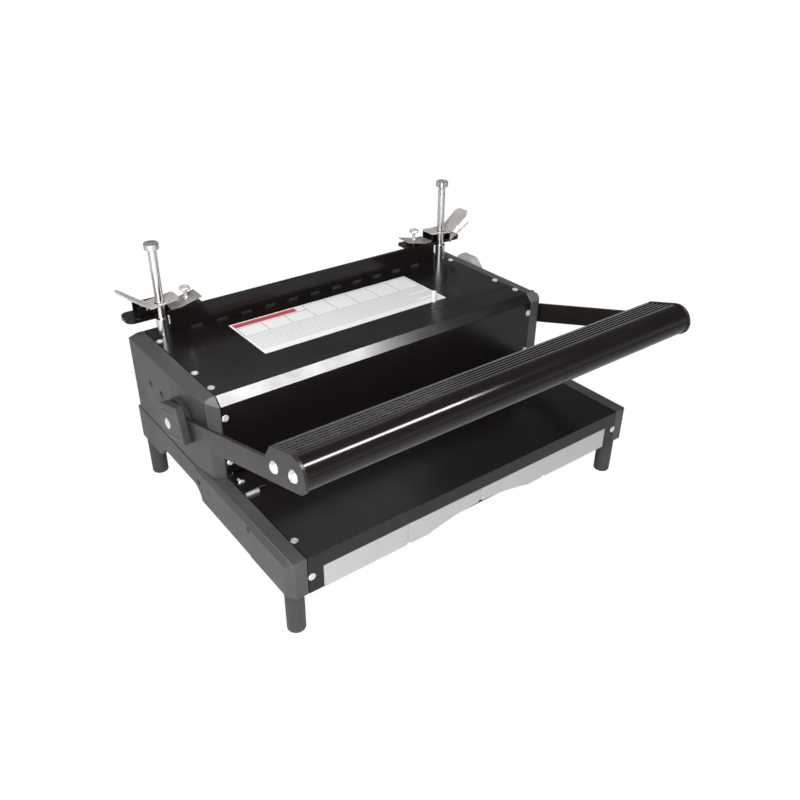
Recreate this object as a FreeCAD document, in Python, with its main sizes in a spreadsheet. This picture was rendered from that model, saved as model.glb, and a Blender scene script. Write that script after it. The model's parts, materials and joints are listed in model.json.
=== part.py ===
import FreeCAD, Part
import math
import os
import Sketcher
from FreeCAD import Placement, Rotation, Vector

# Manual desk punch with a strip press: millimetres, X to the right, Y to the rear, Z up.
# The origin is on the floor, under the middle of the whole machine at rest.

SIZES = {
    # Feet and base
    "foot_radius": 8.4,
    "foot_height": 44.0,
    "foot_round": 1.6,
    "foot_side_inset": 10.2,
    "foot_inset": 13.0,
    "foot_rear_inset": 8.5,
    "base_front": 129.66,
    "base_tail": 5.5,
    "base_cover_width": 17.5,
    "table_height": 81.5,
    "base_bevel_side": 4.0,
    "base_bevel_drop": 5.0,
    "base_bevel_tail": 37.0,
    "base_corner_side": 5.0,
    "base_corner_back": 8.0,
    "step_back": 68.3,
    "step_depth": 0.8,
    "arch_front": 29.2,
    "arch_rear_front_of_back": 40.3,
    "arch_rise": 14.8,
    "arch_slope": 3.0,
    "arch_rear_slope": 14.5,
    "socket_radius": 3.0,
    "socket_front_drop": 8.0,
    "socket_rear_drop": 16.3,
    "socket_rear_back": 32.2,
    # Body
    "body_half_width": 188.0,
    "body_setback": 134.4,
    "body_depth": 166.6,
    "body_rise": 35.5,
    "body_chamfer": 8.3,
    "seam_setback": 34.9,
    "panel_gap": 0.4,
    "cover_width": 16.0,
    "cover_ridge": 3.0,
    "cover_ridge_drop": 9.5,
    "cover_corner_side": 9.5,
    "cover_corner_back": 5.5,
    "cover_taper_side": 4.5,
    "cover_square_side": 3.0,
    "cover_square_back": 2.0,
    "cover_square_taper": 0.6,
    "cover_taper_back": 39.3,
    "cover_wall": 2.6,
    "cover_hole_radius": 4.0,
    "cover_hole_drop": 0.3,
    "cover_hole_front_of_back": 43.6,
    "cover_hole_pitch": 26.0,
    # Sheet metal and frames
    "sheet": 1.5,
    "frame_plate": 4.0,
    "frame_inset": 1.0,
    "table_lip": 14.8,
    "table_tab": 14.4,
    "throat_height": 5.0,
    "die_length": 20.0,
    "die_thickness": 8.0,
    "ramp_width": 2.5,
    "ramp_height": 0.6,
    "tie_radius": 5.0,
    "tie_rise": 60.0,
    # Punch
    "pin_radius": 1.6,
    "pin_pitch": 28.0,
    "pin_fit": 0.08,
    "die_hole_fit": 0.1,
    "pin_rest_lift": 5.4,
    "guide_thickness": 8.0,
    "guide_half_depth": 15.0,
    "punch_half_depth": 14.0,
    "punch_end_gap": 15.0,
    "punch_thickness": 10.0,
    "rod_radius": 3.0,
    "rod_inset": 14.0,
    "rod_offset": 6.0,
    "rod_over": 6.3,
    "spring_radius": 5.0,
    "spring_wire": 1.2,
    "spring_seat_depth": 6.0,
    "stop_thickness": 3.0,
    "stop_offset": 9.5,
    "stop_end_gap": 4.0,
    "running_gap": 0.3,
    # Lever
    "pivot_back": 46.1,
    "punch_rest_gap": 7.2,
    "shaft_radius": 7.5,
    "shaft_fit": 0.06,
    "bush_wall": 3.5,
    "bush_length": 9.0,
    "cam_height": 17.0,
    "cam_rate": 12.5,
    "cam_width": 12.0,
    "cam_outset": 118.0,
    "cam_back_radius": 11.0,
    "cam_back_angle": 20.0,
    "lever_angle": 16.3,
    "arm_outset": 8.4,
    "arm_plate": 3.0,
    "arm_top_rear": 6.0,
    "arm_bottom_rear": 16.2,
    "arm_bottom_front": 12.2,
    "arm_tail": 15.0,
    "grip_start": 190.5,
    "grip_end": 236.9,
    "grip_top": 17.5,
    "grip_rise_length": 12.0,
    "grip_nose_radius": 15.4,
    "grip_toe_radius": 13.0,
    "grip_wall": 2.6,
    "grip_inset": 0.6,
    "rib_width": 2.0,
    "rib_height": 0.9,
    "rib_pitch": 5.2,
    "rib_first": 4.6,
    "grip_screw_line": 1.0,
    "grip_screw_first": 193.0,
    "grip_screw_pitch": 28.6,
    "screw_head_radius": 5.2,
    "screw_head_height": 2.6,
    "screw_shank_radius": 3.0,
    "screw_length": 14.0,
    "hub_radius": 20.5,
    "hub_gap": 0.5,
    "cap_thickness": 7.6,
    "cap_front": 27.4,
    "cap_rear": 21.4,
    "cap_top": 18.8,
    "cap_bottom": 15.8,
    "cap_bevel": 2.2,
    "cap_tail_radius": 16.0,
    "cap_screw_radius": 5.2,
    # Press
    "post_inset": 12.5,
    "post_front_of_back": 23.0,
    "post_radius": 4.0,
    "post_length": 95.5,
    "post_head_flats": 12.0,
    "post_head_height": 6.0,
    "sleeve_radius": 6.0,
    "post_fit": 0.2,
    "nut_radius": 7.4,
    "nut_height": 6.5,
    "bar_end_gap": 8.5,
    "bar_plate": 4.0,
    "bar_face_offset": 0.4,
    "bar_lift": 0.5,
    "bar_height": 23.2,
    "slot_length": 13.0,
    "slot_height": 2.0,
    "ear_inner": 44.5,
    "ear_outer": 33.5,
    "ear_depth": 23.6,
    "ear_round": 8.0,
    "ear_notch_gap": 0.6,
    "clamp_sheet": 1.5,
    "clamp_outset": 11.0,
    "clamp_bend": 22.0,
    "clamp_rise_angle": 13.0,
    "clamp_rise_length": 23.0,
    "clamp_inset": 2.0,
    "clamp_width": 20.6,
    "bracket_inner": 9.1,
    "bracket_outer": 20.0,
    "bracket_offset": 4.8,
    "bracket_width": 17.2,
    "bracket_height": 9.0,
    "lock_pin_radius": 1.2,
    "lock_pin_outset": 11.5,
    "lock_pin_rise": 4.2,
    "lock_pin_fit": 0.06,
    "lock_lug_length": 4.0,
    "lock_lug_gap": 0.3,
    "lock_bend_rise": 4.6,
    "lock_sheet": 1.6,
    "lock_tilt": 6.5,
    "lock_length": 30.0,
    "lock_front": 7.3,
    "lock_width": 20.5,
    "lock_round": 4.0,
    "lock_hole_gap": 1.1,
    "tongue_angle": 37.0,
    "tongue_length": 33.0,
    "tongue_round": 7.0,
    "release_sheet": 1.2,
    "release_outset": 15.5,
    "release_hook_width": 1.8,
    "release_hook_drop": 5.2,
    "release_hook_rise": 10.5,
    "release_root_width": 6.5,
    "release_root_rise": 6.0,
    "release_angle": 29.5,
    "release_length": 31.0,
    "thumb_inset": 31.0,
    "thumb_back": 11.0,
    "thumb_collar_rise": 3.4,
    "thumb_radius": 5.6,
    "thumb_dome": 4.0,
    "thumb_stem_radius": 1.8,
    "thumb_collar_radius": 2.9,
    "thumb_stem_height": 12.4,
    # Chip tray
    "tray_side_gap": 9.8,
    "tray_gap": 0.5,
    "tray_wall": 2.0,
    "tray_front_wall": 3.2,
    "tray_behind": 24.5,
    "tray_groove": 4.4,
    "tray_groove_depth": 1.6,
    "tray_groove_pitch": 84.5,
    "tray_arch_half": 62.0,
    "tray_arch_rise": 8.4,
    # Small parts
    "label_half_length": 111.5,
    "label_width": 75.0,
    "label_back": 55.4,
    "label_shift": 3.4,
    "label_sheet": 0.3,
    "peg_radius": 2.4,
    "peg_height": 12.2,
    "peg_outset": 91.0,
    "peg_back": 51.2,
    "knob_radius": 25.5,
    "knob_length": 15.0,
    "knob_bore": 6.0,
    "knob_bevel": 5.0,
    "knob_front_of_back": 37.0,
    "knob_rise": 14.0,
    "stub_radius": 5.9,
    "side_guide_overlap": 0.2,
    "side_guide_width": 20.0,
    "side_guide_depth": 29.0,
    "side_guide_height": 3.0,
    "side_screw_back": 11.6,
    "side_screw_inset": 4.2,
    "side_tab_width": 12.5,
    "side_tab_depth": 3.2,
    "side_tab_gap": 0.3,
    "small_head_radius": 3.4,
    "small_head_height": 1.6,
    "small_shank_radius": 1.5,
    "small_shank_length": 6.0,
    "small_hole_gap": 0.1,
    "screw_fold_back": 22.6,
    "screw_top_back": 55.5,
    "screw_rear_inset": 33.1,
    "screw_face_high": 20.0,
    "screw_face_low": 17.0,
    "screw_tab_rise": 17.3,
    "screw_deck_back": 24.9,
    "cut_overrun": 2.0,
}


class Size:
    """A length that carries its value and the sheet expression it comes from."""

    def __init__(self, value, text):
        self.value = value
        self.text = text

    def joined(self, other, sign, value):
        return Size(value, "(%s %s %s)" % (self.text, sign, text_of(other)))

    def __add__(self, other):
        return self.joined(other, "+", self.value + value_of(other))

    def __sub__(self, other):
        return self.joined(other, "-", self.value - value_of(other))

    def __mul__(self, other):
        return self.joined(other, "*", self.value * value_of(other))

    def __truediv__(self, other):
        return self.joined(other, "/", self.value / value_of(other))

    def __neg__(self):
        return Size(-self.value, "(0 - %s)" % self.text)


def value_of(size):
    return size.value if isinstance(size, Size) else float(size)


def text_of(size):
    return size.text if isinstance(size, Size) else repr(size)


def cosine(angle):
    return Size(math.cos(math.radians(angle.value)), "cos(%s * 1 deg)" % angle.text)


def sine(angle):
    return Size(math.sin(math.radians(angle.value)), "sin(%s * 1 deg)" % angle.text)


class Sheet:
    """Every named size of the machine, read as attributes."""

    def __init__(self, document):
        sheet = document.addObject("Spreadsheet::Sheet", "size")
        for row, (name, number) in enumerate(SIZES.items(), start=1):
            sheet.set("A%d" % row, name)
            sheet.set("B%d" % row, str(number))
            sheet.setAlias("B%d" % row, name)
            setattr(self, name, Size(float(number), "size." + name))


doc = FreeCAD.newDocument("desk_punch")
s = Sheet(doc)
doc.recompute()
nodes = []

# Building helpers. Every length goes to its object as an expression on the sheet.

ZERO = Size(0.0, "0")
AXES = {
    "x": Rotation(Vector(0, 1, 0), 90),
    "y": Rotation(Vector(1, 0, 0), -90),
    "z": Rotation(),
}
PLANES = {"yz": "YZ_Plane", "xz": "XZ_Plane", "xy": "XY_Plane"}
SAME_PLACE = 1e-4
FOLD_SHARE = math.tan(math.radians(22.5))
HEX_FLATS_SHARE = math.cos(math.radians(30))
HEX_CORNERS = range(0, 360, 60)
ARCH_ROUND_SHARE = 1.1
CAM_TURNS = range(-40, 44, 4)
PIN_NUMBERS = range(-5, 6)


def bind(thing, **sizes):
    """Ties properties of an object to sheet expressions; a double underscore stands for a dot."""
    for name, size in sizes.items():
        thing.setExpression(name.replace("__", "."), text_of(size))


def move(thing, x=ZERO, y=ZERO, z=ZERO):
    bind(thing, Placement__Base__x=x, Placement__Base__y=y, Placement__Base__z=z)
    return thing


def box(name, x, y, z):
    """A block between two limits on each axis."""
    block = doc.addObject("Part::Box", name)
    bind(block, Length=x[1] - x[0], Width=y[1] - y[0], Height=z[1] - z[0])
    return move(block, x[0], y[0], z[0])


def rod(name, axis, radius, low, high, x=ZERO, y=ZERO, z=ZERO):
    """A round bar along one axis, from low to high on that axis."""
    bar = doc.addObject("Part::Cylinder", name)
    bar.Placement = Placement(Vector(), AXES[axis])
    bind(bar, Radius=radius, Height=high - low)
    places = {"x": x, "y": y, "z": z}
    places[axis] = low
    return move(bar, **places)


def cut(name, base, *tools):
    result = doc.addObject("Part::Cut", name)
    result.Base = base
    result.Tool = tools[0] if len(tools) == 1 else fuse(name + "_tools", *tools)
    return result


def fuse(name, *pieces):
    result = doc.addObject("Part::MultiFuse", name)
    result.Shapes = list(pieces)
    return result


def group(name, *pieces):
    result = doc.addObject("Part::Compound", name)
    result.Links = list(pieces)
    return result


def mirrored(name, source):
    """The same piece on the other side of the middle plane."""
    result = doc.addObject("Part::Mirroring", name)
    result.Source = source
    result.Normal = Vector(1, 0, 0)
    return result


def both_sides(name, source):
    return group(name, source, mirrored(name + "_mirror", source))


def keep(label, thing):
    """Marks an object as one named piece of the machine."""
    thing.Label = label
    nodes.append(thing)
    return thing


def keep_pair(label, right):
    """Keeps a right-hand piece and its mirror image on the left."""
    keep(label + "_right", right)
    keep(label + "_left", mirrored(label + "_left_mirror", right))


def attached_sketch(body, name, plane, offset):
    """A sketch on one of the body's own origin planes, moved along the plane's normal."""
    sketch = body.newObject("Sketcher::SketchObject", name)
    role = PLANES[plane]
    sketch.AttachmentSupport = [f for f in body.Origin.OriginFeatures if f.Role == role][0]
    sketch.MapMode = "FlatFace"
    bind(sketch, AttachmentOffset__Base__z=offset)
    return sketch


def draw_outline(sketch, points):
    """Closed straight outline: each corner is held at its distances from the origin."""
    count = len(points)
    corners = [Vector(value_of(u), value_of(v), 0) for u, v in points]
    for index in range(count):
        line = Part.LineSegment(corners[index], corners[(index + 1) % count])
        sketch.addGeometry(line, False)
    for index in range(count):
        following = (index + 1) % count
        sketch.addConstraint(Sketcher.Constraint("Coincident", index, 2, following, 1))
    for index, (u, v) in enumerate(points):
        for kind, size in (("DistanceX", u), ("DistanceY", v)):
            if value_of(size) == 0:
                other = "PointOnObject"
                axis = -2 if kind == "DistanceX" else -1
                sketch.addConstraint(Sketcher.Constraint(other, index, 1, axis))
                continue
            number = sketch.addConstraint(
                Sketcher.Constraint(kind, -1, 1, index, 1, value_of(size)))
            sketch.setExpression("Constraints[%d]" % number, text_of(size))


def prism(name, plane, points, low, high, rounds=()):
    """A body padded from an outline, between two offsets along the plane's normal axis.

    rounds lists (corner numbers, radius) pairs for the edges along the pad.
    """
    body = doc.addObject("PartDesign::Body", name)
    offset = -high if plane == "xz" else low
    sketch = attached_sketch(body, name + "_outline", plane, offset)
    draw_outline(sketch, points)
    pad = body.newObject("PartDesign::Pad", name + "_pad")
    pad.Profile = sketch
    bind(pad, Length=high - low)
    doc.recompute()
    for number, (corners, radius) in enumerate(rounds):
        edges = corner_edges(body.Tip.Shape, plane, points, corners)
        fillet = dressed(body, "PartDesign::Fillet", "%s_round_%d" % (name, number), edges)
        bind(fillet, Radius=radius)
        doc.recompute()
    return body


def dressed(body, kind, name, edges):
    """Adds a fillet or chamfer to the given edges of the body's last feature."""
    base = body.Tip
    feature = body.newObject(kind, name)
    feature.Base = (base, edges)
    body.Tip = feature
    return feature


def corner_edges(shape, plane, points, corners):
    """Names of the edges that run along the pad at the given outline corners."""
    wanted = [(value_of(points[c][0]), value_of(points[c][1])) for c in corners]
    first, second = plane
    names = []
    for number, edge in enumerate(shape.Edges, start=1):
        ends = [(getattr(v.Point, first), getattr(v.Point, second)) for v in edge.Vertexes]
        if len(ends) < 2 or math.dist(ends[0], ends[1]) > SAME_PLACE:
            continue
        if any(math.dist(ends[0], place) < SAME_PLACE for place in wanted):
            names.append("Edge%d" % number)
    return names


def edges_on(shape, test):
    """Names of the edges whose every end passes the test."""
    names = []
    for number, edge in enumerate(shape.Edges, start=1):
        if all(test(vertex.Point) for vertex in edge.Vertexes):
            names.append("Edge%d" % number)
    return names


def bevelled(body, name, size, second, test):
    """Adds an unequal chamfer to the body on the edges that pass the test."""
    edges = edges_on(body.Tip.Shape, test)
    bevel = dressed(body, "PartDesign::Chamfer", name, edges)
    bevel.ChamferType = "Two distances"
    bind(bevel, Size=size, Size2=second)
    doc.recompute()


# Places that several pieces share

over = s.cut_overrun
front_y = -s.base_front
table_z = s.table_height
base_z = s.foot_height
body_y = s.body_setback - s.base_front
back_y = body_y + s.body_depth
rear_y = back_y + s.base_tail
throat_z = table_z + s.throat_height
guide_top = throat_z + s.guide_thickness
punch_low = guide_top + s.punch_rest_gap
punch_top = punch_low + s.punch_thickness
pivot_y = body_y + s.pivot_back
pivot_z = punch_top + s.running_gap + s.cam_height
top_z = pivot_z + s.body_rise
seam_y = body_y + s.seam_setback
frame_x = s.body_half_width - s.frame_inset
frame_in = frame_x - s.frame_plate
sheet_z = top_z - s.sheet
post_y = back_y - s.post_front_of_back
post_x = s.body_half_width - s.post_inset
post_high = top_z + s.post_length
base_in = s.body_half_width + s.panel_gap
bottom_z = base_z + s.sheet
screw_x = frame_x - s.frame_plate / 2
base_out = s.body_half_width + s.base_cover_width
cover_out = s.body_half_width + s.cover_width
arm_out = cover_out + s.arm_outset
foot_x = base_out - s.foot_side_inset
rod_x = frame_in - s.punch_end_gap - s.rod_inset
knob_y = back_y - s.knob_front_of_back
knob_z = pivot_z + s.knob_rise
peg_y = body_y + s.peg_back


def screw(name, axis, facing, place, radius, height, shank, length):
    """A round-headed screw seated at a place, its head on the facing side."""
    x, y, z = place
    along = {"x": x, "y": y, "z": z}
    seat = along.pop(axis)
    if facing > 0:
        head = rod(name + "_head", axis, radius, seat, seat + height, **along)
        stem = rod(name + "_stem", axis, shank, seat - length, seat, **along)
    else:
        head = rod(name + "_head", axis, radius, seat - height, seat, **along)
        stem = rod(name + "_stem", axis, shank, seat, seat + length, **along)
    return fuse(name, head, stem)


def cone(name, low_radius, high_radius, low, high, x=ZERO, y=ZERO):
    """A tapered round piece along Z."""
    taper = doc.addObject("Part::Cone", name)
    bind(taper, Radius1=low_radius, Radius2=high_radius, Height=high - low)
    return move(taper, x, y, low)


BODY_SCREWS = {
    "fold": ("z", 1, (screw_x, body_y + s.screw_fold_back, top_z)),
    "top": ("z", 1, (screw_x, body_y + s.screw_top_back, top_z)),
    "rear": ("z", 1, (screw_x, back_y - s.screw_rear_inset, top_z)),
    "face_high": ("y", -1, (screw_x, body_y, top_z - s.screw_face_high)),
    "face_low": ("y", -1, (screw_x, body_y, table_z + s.screw_face_low)),
}
TABLE_SCREWS = {
    "tab": ("y", -1, (screw_x, front_y, base_z + s.screw_tab_rise)),
}
LEFT_TABLE_SCREWS = {
    "deck": ("z", 1, (screw_x, front_y + s.screw_deck_back, table_z)),
}


def screw_holes(name, screws):
    """Clearance holes for the shanks of one side's screws."""
    holes = []
    for key, (axis, facing, place) in screws.items():
        along = dict(zip("xyz", place))
        seat = along.pop(axis)
        ends = (seat - s.small_shank_length - s.panel_gap, seat + over)
        if facing < 0:
            ends = (seat - over, seat + s.small_shank_length + s.panel_gap)
        holes.append(rod("%s_%s_hole" % (name, key), axis,
                         s.small_shank_radius + s.small_hole_gap, *ends, **along))
    return group(name + "_screw_holes", *holes)


def make_feet():
    """Four round feet under the corners of the base, each with a bevelled rim."""
    radius = s.foot_radius
    for name, y in (("front", front_y + s.foot_inset),
                    ("rear", rear_y - s.foot_rear_inset)):
        core = rod("foot_%s_core" % name, "z", radius, s.foot_round, base_z, foot_x, y)
        rim = cone("foot_%s_rim" % name, radius - s.foot_round, radius, ZERO, s.foot_round,
                   foot_x, y)
        keep_pair("foot_" + name, fuse("foot_%s_whole" % name, core, rim))


def make_base_covers():
    """Long moulded side covers of the base, arched underneath ahead of the rear feet."""
    outer = base_out
    arch_a = body_y + s.arch_front
    arch_b = back_y - s.arch_rear_front_of_back
    roof = base_z + s.arch_rise
    points = [
        (front_y, base_z),
        (arch_a, base_z),
        (arch_a + s.arch_slope, roof),
        (arch_b - s.arch_rear_slope, roof),
        (arch_b, base_z),
        (rear_y, base_z),
        (rear_y, table_z),
        (front_y, table_z),
    ]
    rounds = (((2,), s.arch_rise * ARCH_ROUND_SHARE), ((3,), s.arch_rise / 4))
    body = prism("base_cover", "yz", points, base_in, outer, rounds)
    edge_x = outer.value - SAME_PLACE
    bevelled(body, "base_cover_corner", s.base_corner_side, s.base_corner_back,
             lambda p: p.x > edge_x and p.y < front_y.value + SAME_PLACE)
    bevelled(body, "base_cover_bevel", s.base_bevel_drop, s.base_bevel_side,
             lambda p: p.x > edge_x and p.z > table_z.value - SAME_PLACE)
    tail = box("base_cover_tail", (outer - s.base_bevel_side, outer),
               (body_y + s.base_bevel_tail, rear_y), (table_z - s.base_bevel_drop, table_z))
    step = front_y + s.step_back
    relief = box("base_cover_step", (outer - s.step_depth, outer + over),
                 (step, rear_y + over), (base_z - over, table_z + over))
    wall = s.cover_wall
    sockets = [(step, table_z - s.socket_front_drop),
               (body_y + s.socket_rear_back, table_z - s.socket_rear_drop)]
    holes = [rod("base_socket_%d" % number, "x", s.socket_radius, outer - wall * 2,
                 outer + over, ZERO, y, z) for number, (y, z) in enumerate(sockets)]
    ceiling = table_z - s.base_bevel_drop
    lower = base_z + wall
    hollow_points = [
        (front_y + s.base_corner_back + wall, lower),
        (arch_a - wall, lower),
        (arch_a + s.arch_slope - wall, roof + wall),
        (arch_b - s.arch_rear_slope + wall / 2, roof + wall),
        (arch_b + wall / 2, lower),
        (rear_y - wall, lower),
        (rear_y - wall, ceiling),
        (front_y + s.base_corner_back + wall, ceiling),
    ]
    hollow = prism("base_cover_hollow", "yz", hollow_points, base_in - over, outer - wall
                   - s.step_depth)
    whole = fuse("base_cover_whole", body, tail)
    keep_pair("base_cover", cut("base_cover_cut", whole, relief, hollow, *holes))


def make_table():
    """Black table sheet with a folded front lip and tabs, and the steel plates under it."""
    half = s.body_half_width
    die_front = pivot_y - s.die_length
    sheet = s.sheet
    front = (front_y, front_y + sheet)
    tab = s.table_tab
    wide = frame_in - s.panel_gap
    top = box("table_top", (-half, half), (front_y, body_y + sheet), (table_z - sheet, table_z))
    tail = box("table_tail", (-wide, wide), (body_y + sheet, die_front),
               (table_z - sheet, table_z))
    lip = box("table_lip", (-half, half), front, (table_z - s.table_lip, table_z - sheet))
    tab_z = (base_z, table_z - s.table_lip)
    tab_right = box("table_tab_right", (half - tab, half), front, tab_z)
    tab_left = box("table_tab_left", (-half, tab - half), front, tab_z)
    holes = both_sides("table_holes", screw_holes("table", TABLE_SCREWS))
    deck_hole = mirrored("table_deck_hole", screw_holes("table_deck", LEFT_TABLE_SCREWS))
    keep("table_plate", cut("table_cut", fuse("table_sheet", top, tail, lip, tab_right,
                                              tab_left), holes, deck_hole))
    die = box("die_block", (-frame_in, frame_in), (die_front, pivot_y + s.die_length),
              (table_z - s.die_thickness, table_z))
    keep("die_plate", cut("die_holes_cut", die, pin_row(
        "die_hole", s.pin_radius + s.die_hole_fit, table_z - s.die_thickness - over,
        table_z + over)))
    keep("bottom_plate", box("bottom_sheet", (-frame_in, frame_in),
                             (front_y + s.tray_front_wall * 2, back_y),
                             (base_z, bottom_z)))
    ramp_y = body_y - s.ramp_width
    keep("paper_ramp", box("paper_ramp_strip", (-wide, wide), (ramp_y, body_y),
                           (table_z, table_z + s.ramp_height)))


def pin_row(name, radius, low, high):
    """Eleven equal round pieces in a row along the punch line."""
    pieces = []
    for number in PIN_NUMBERS:
        x = s.pin_pitch * number if number else ZERO
        pieces.append(rod("%s_%d" % (name, number + 5), "z", radius, low, high, x, pivot_y))
    return group(name + "_row", *pieces)


def make_side_frames():
    """Steel side plates that carry the table, the body and the lever's bushes."""
    inset = s.sheet
    rear = back_y - inset
    low = front_y + inset
    chamfer = s.body_chamfer
    points = [
        (low, bottom_z),
        (rear, bottom_z),
        (rear, top_z - inset),
        (body_y + inset + chamfer, top_z - inset),
        (body_y + inset, top_z - inset - chamfer),
        (body_y + inset, table_z - inset),
        (low, table_z - inset),
    ]
    plate = prism("side_frame", "yz", points, frame_in, frame_x)
    bush_hole = rod("frame_bush_hole", "x", s.shaft_radius + s.bush_wall, frame_in - over,
                    frame_x + over, ZERO, pivot_y, pivot_z)
    tie_y = tie_places()
    tie_holes = [rod("frame_tie_hole_%d" % number, "x", s.small_shank_radius * 2,
                     frame_in - over, frame_x + over, ZERO, y, z)
                 for number, (y, z) in enumerate(tie_y)]
    keep_pair("side_frame", cut("side_frame_cut", plate, bush_hole, *tie_holes,
                                screw_holes("frame", BODY_SCREWS),
                                screw_holes("frame_table", TABLE_SCREWS),
                                screw_holes("frame_deck", LEFT_TABLE_SCREWS)))
    bars = []
    for number, (y, z) in enumerate(tie_y):
        bars.append(rod("tie_bar_%d" % number, "x", s.tie_radius, -frame_in, frame_in,
                        ZERO, y, z))
    keep("tie_rods", group("tie_bars", *bars))
    outer = s.shaft_radius + s.bush_wall
    sleeve = rod("bush_outer", "x", outer, frame_in - s.bush_length / 2, frame_x,
                 ZERO, pivot_y, pivot_z)
    bore = rod("bush_bore", "x", s.shaft_radius + s.shaft_fit, frame_in - s.bush_length,
               frame_x + over, ZERO, pivot_y, pivot_z)
    keep("shaft_bushes", both_sides("bush_pair", cut("bush", sleeve, bore)))


def tie_places():
    """Where the tie rods cross between the side frames."""
    high = top_z - s.tie_radius * 4
    return [
        (back_y - s.tie_radius * 3, table_z + s.tie_radius * 3),
        (back_y - s.tie_radius * 3, high - s.tie_rise / 4),
        (body_y + s.tie_radius * 3, high),
    ]


def make_punch():
    """Stripper guide, punch bar with its pins, guide rods, springs and the depth stop."""
    near = pivot_y - s.guide_half_depth
    far = pivot_y + s.guide_half_depth
    block = box("guide_block", (-frame_in, frame_in), (near, far), (throat_z, guide_top))
    rod_y = pivot_y + s.rod_offset
    seat_z = guide_top - s.spring_seat_depth
    seats = both_sides("guide_seats", rod("guide_seat", "z", s.spring_radius + s.panel_gap,
                                          seat_z, guide_top + over, rod_x, rod_y))
    pins = pin_row("guide_hole", s.pin_radius + s.pin_fit, throat_z - over, guide_top + over)
    keep("punch_guide", cut("punch_guide_cut", block, seats, pins))
    keep("guide_rods", both_sides("guide_rod_pair", rod(
        "guide_rod", "z", s.rod_radius, seat_z, punch_top + s.rod_over, rod_x, rod_y)))
    half = frame_in - s.punch_end_gap
    bar = box("punch_block", (-half, half),
              (pivot_y - s.punch_half_depth, pivot_y + s.punch_half_depth),
              (punch_low, punch_top))
    bores = both_sides("punch_bores", rod("punch_bore", "z", s.rod_radius + s.pin_fit,
                                          punch_low - over, punch_top + over,
                                          rod_x, rod_y))
    keep("punch_bar", cut("punch_bar_cut", bar, bores))
    tip = table_z + s.pin_rest_lift
    keep("punch_pins", pin_row("punch_pin", s.pin_radius, tip, punch_low))
    outer = rod("spring_outer", "z", s.spring_radius, seat_z, punch_low, rod_x, rod_y)
    inner = rod("spring_inner", "z", s.spring_radius - s.spring_wire, seat_z - over,
                punch_low + over, rod_x, rod_y)
    keep("return_springs", both_sides("return_spring_pair", cut("return_spring", outer, inner)))
    stop_y = pivot_y + s.stop_offset
    half = rod_x - s.stop_end_gap
    keep("depth_stop", box("depth_stop_bar", (-half, half),
                           (stop_y, stop_y + s.stop_thickness),
                           (table_z + s.running_gap / 2, throat_z - s.running_gap)))


def make_body():
    """Folded front cover, top plate and rear panel between the side covers."""
    sheet = s.sheet
    half = s.body_half_width
    chamfer = s.body_chamfer
    inner_chamfer = chamfer - sheet * FOLD_SHARE
    points = [
        (body_y, throat_z),
        (body_y, top_z - chamfer),
        (body_y + chamfer, top_z),
        (seam_y - s.panel_gap, top_z),
        (seam_y - s.panel_gap, sheet_z),
        (body_y + sheet + inner_chamfer, sheet_z),
        (body_y + sheet, sheet_z - inner_chamfer),
        (body_y + sheet, throat_z),
    ]
    holes = both_sides("body_screw_holes", screw_holes("body", BODY_SCREWS))
    folded = prism("front_cover", "yz", points, -half, half)
    keep("body_front_cover", cut("front_cover_cut", folded, holes))
    plate = box("top_sheet", (-half, half), (seam_y, back_y), (sheet_z, top_z))
    hole = s.post_radius + s.panel_gap
    posts = both_sides("top_post_holes", rod("top_post_hole", "z", hole, sheet_z - over,
                                             top_z + over, post_x, post_y))
    peg = rod("top_peg_hole", "z", s.peg_radius / 2, sheet_z - over, top_z + over,
              s.peg_outset, peg_y)
    keep("body_top_plate", cut("top_plate_cut", plate, posts, peg, holes))
    keep("rear_panel", box("rear_sheet", (-half, half), (back_y - sheet, back_y),
                           (bottom_z, sheet_z)))
    label_y = body_y + s.label_back - s.body_chamfer / 2
    label = box("label_blank", (-s.label_half_length - s.label_shift,
                                s.label_half_length - s.label_shift),
                (label_y, label_y + s.label_width), (top_z, top_z + s.label_sheet))
    clear = rod("label_peg_hole", "z", s.peg_radius + s.panel_gap, top_z - over, top_z + over,
                s.peg_outset, peg_y)
    keep("label_plate", cut("label_cut", label, clear))
    head = rod("peg_head", "z", s.peg_radius, top_z, top_z + s.peg_height, s.peg_outset, peg_y)
    stem = rod("peg_stem", "z", s.peg_radius / 2, sheet_z - s.sheet, top_z, s.peg_outset, peg_y)
    keep("nylon_peg", fuse("peg", head, stem))


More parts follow.
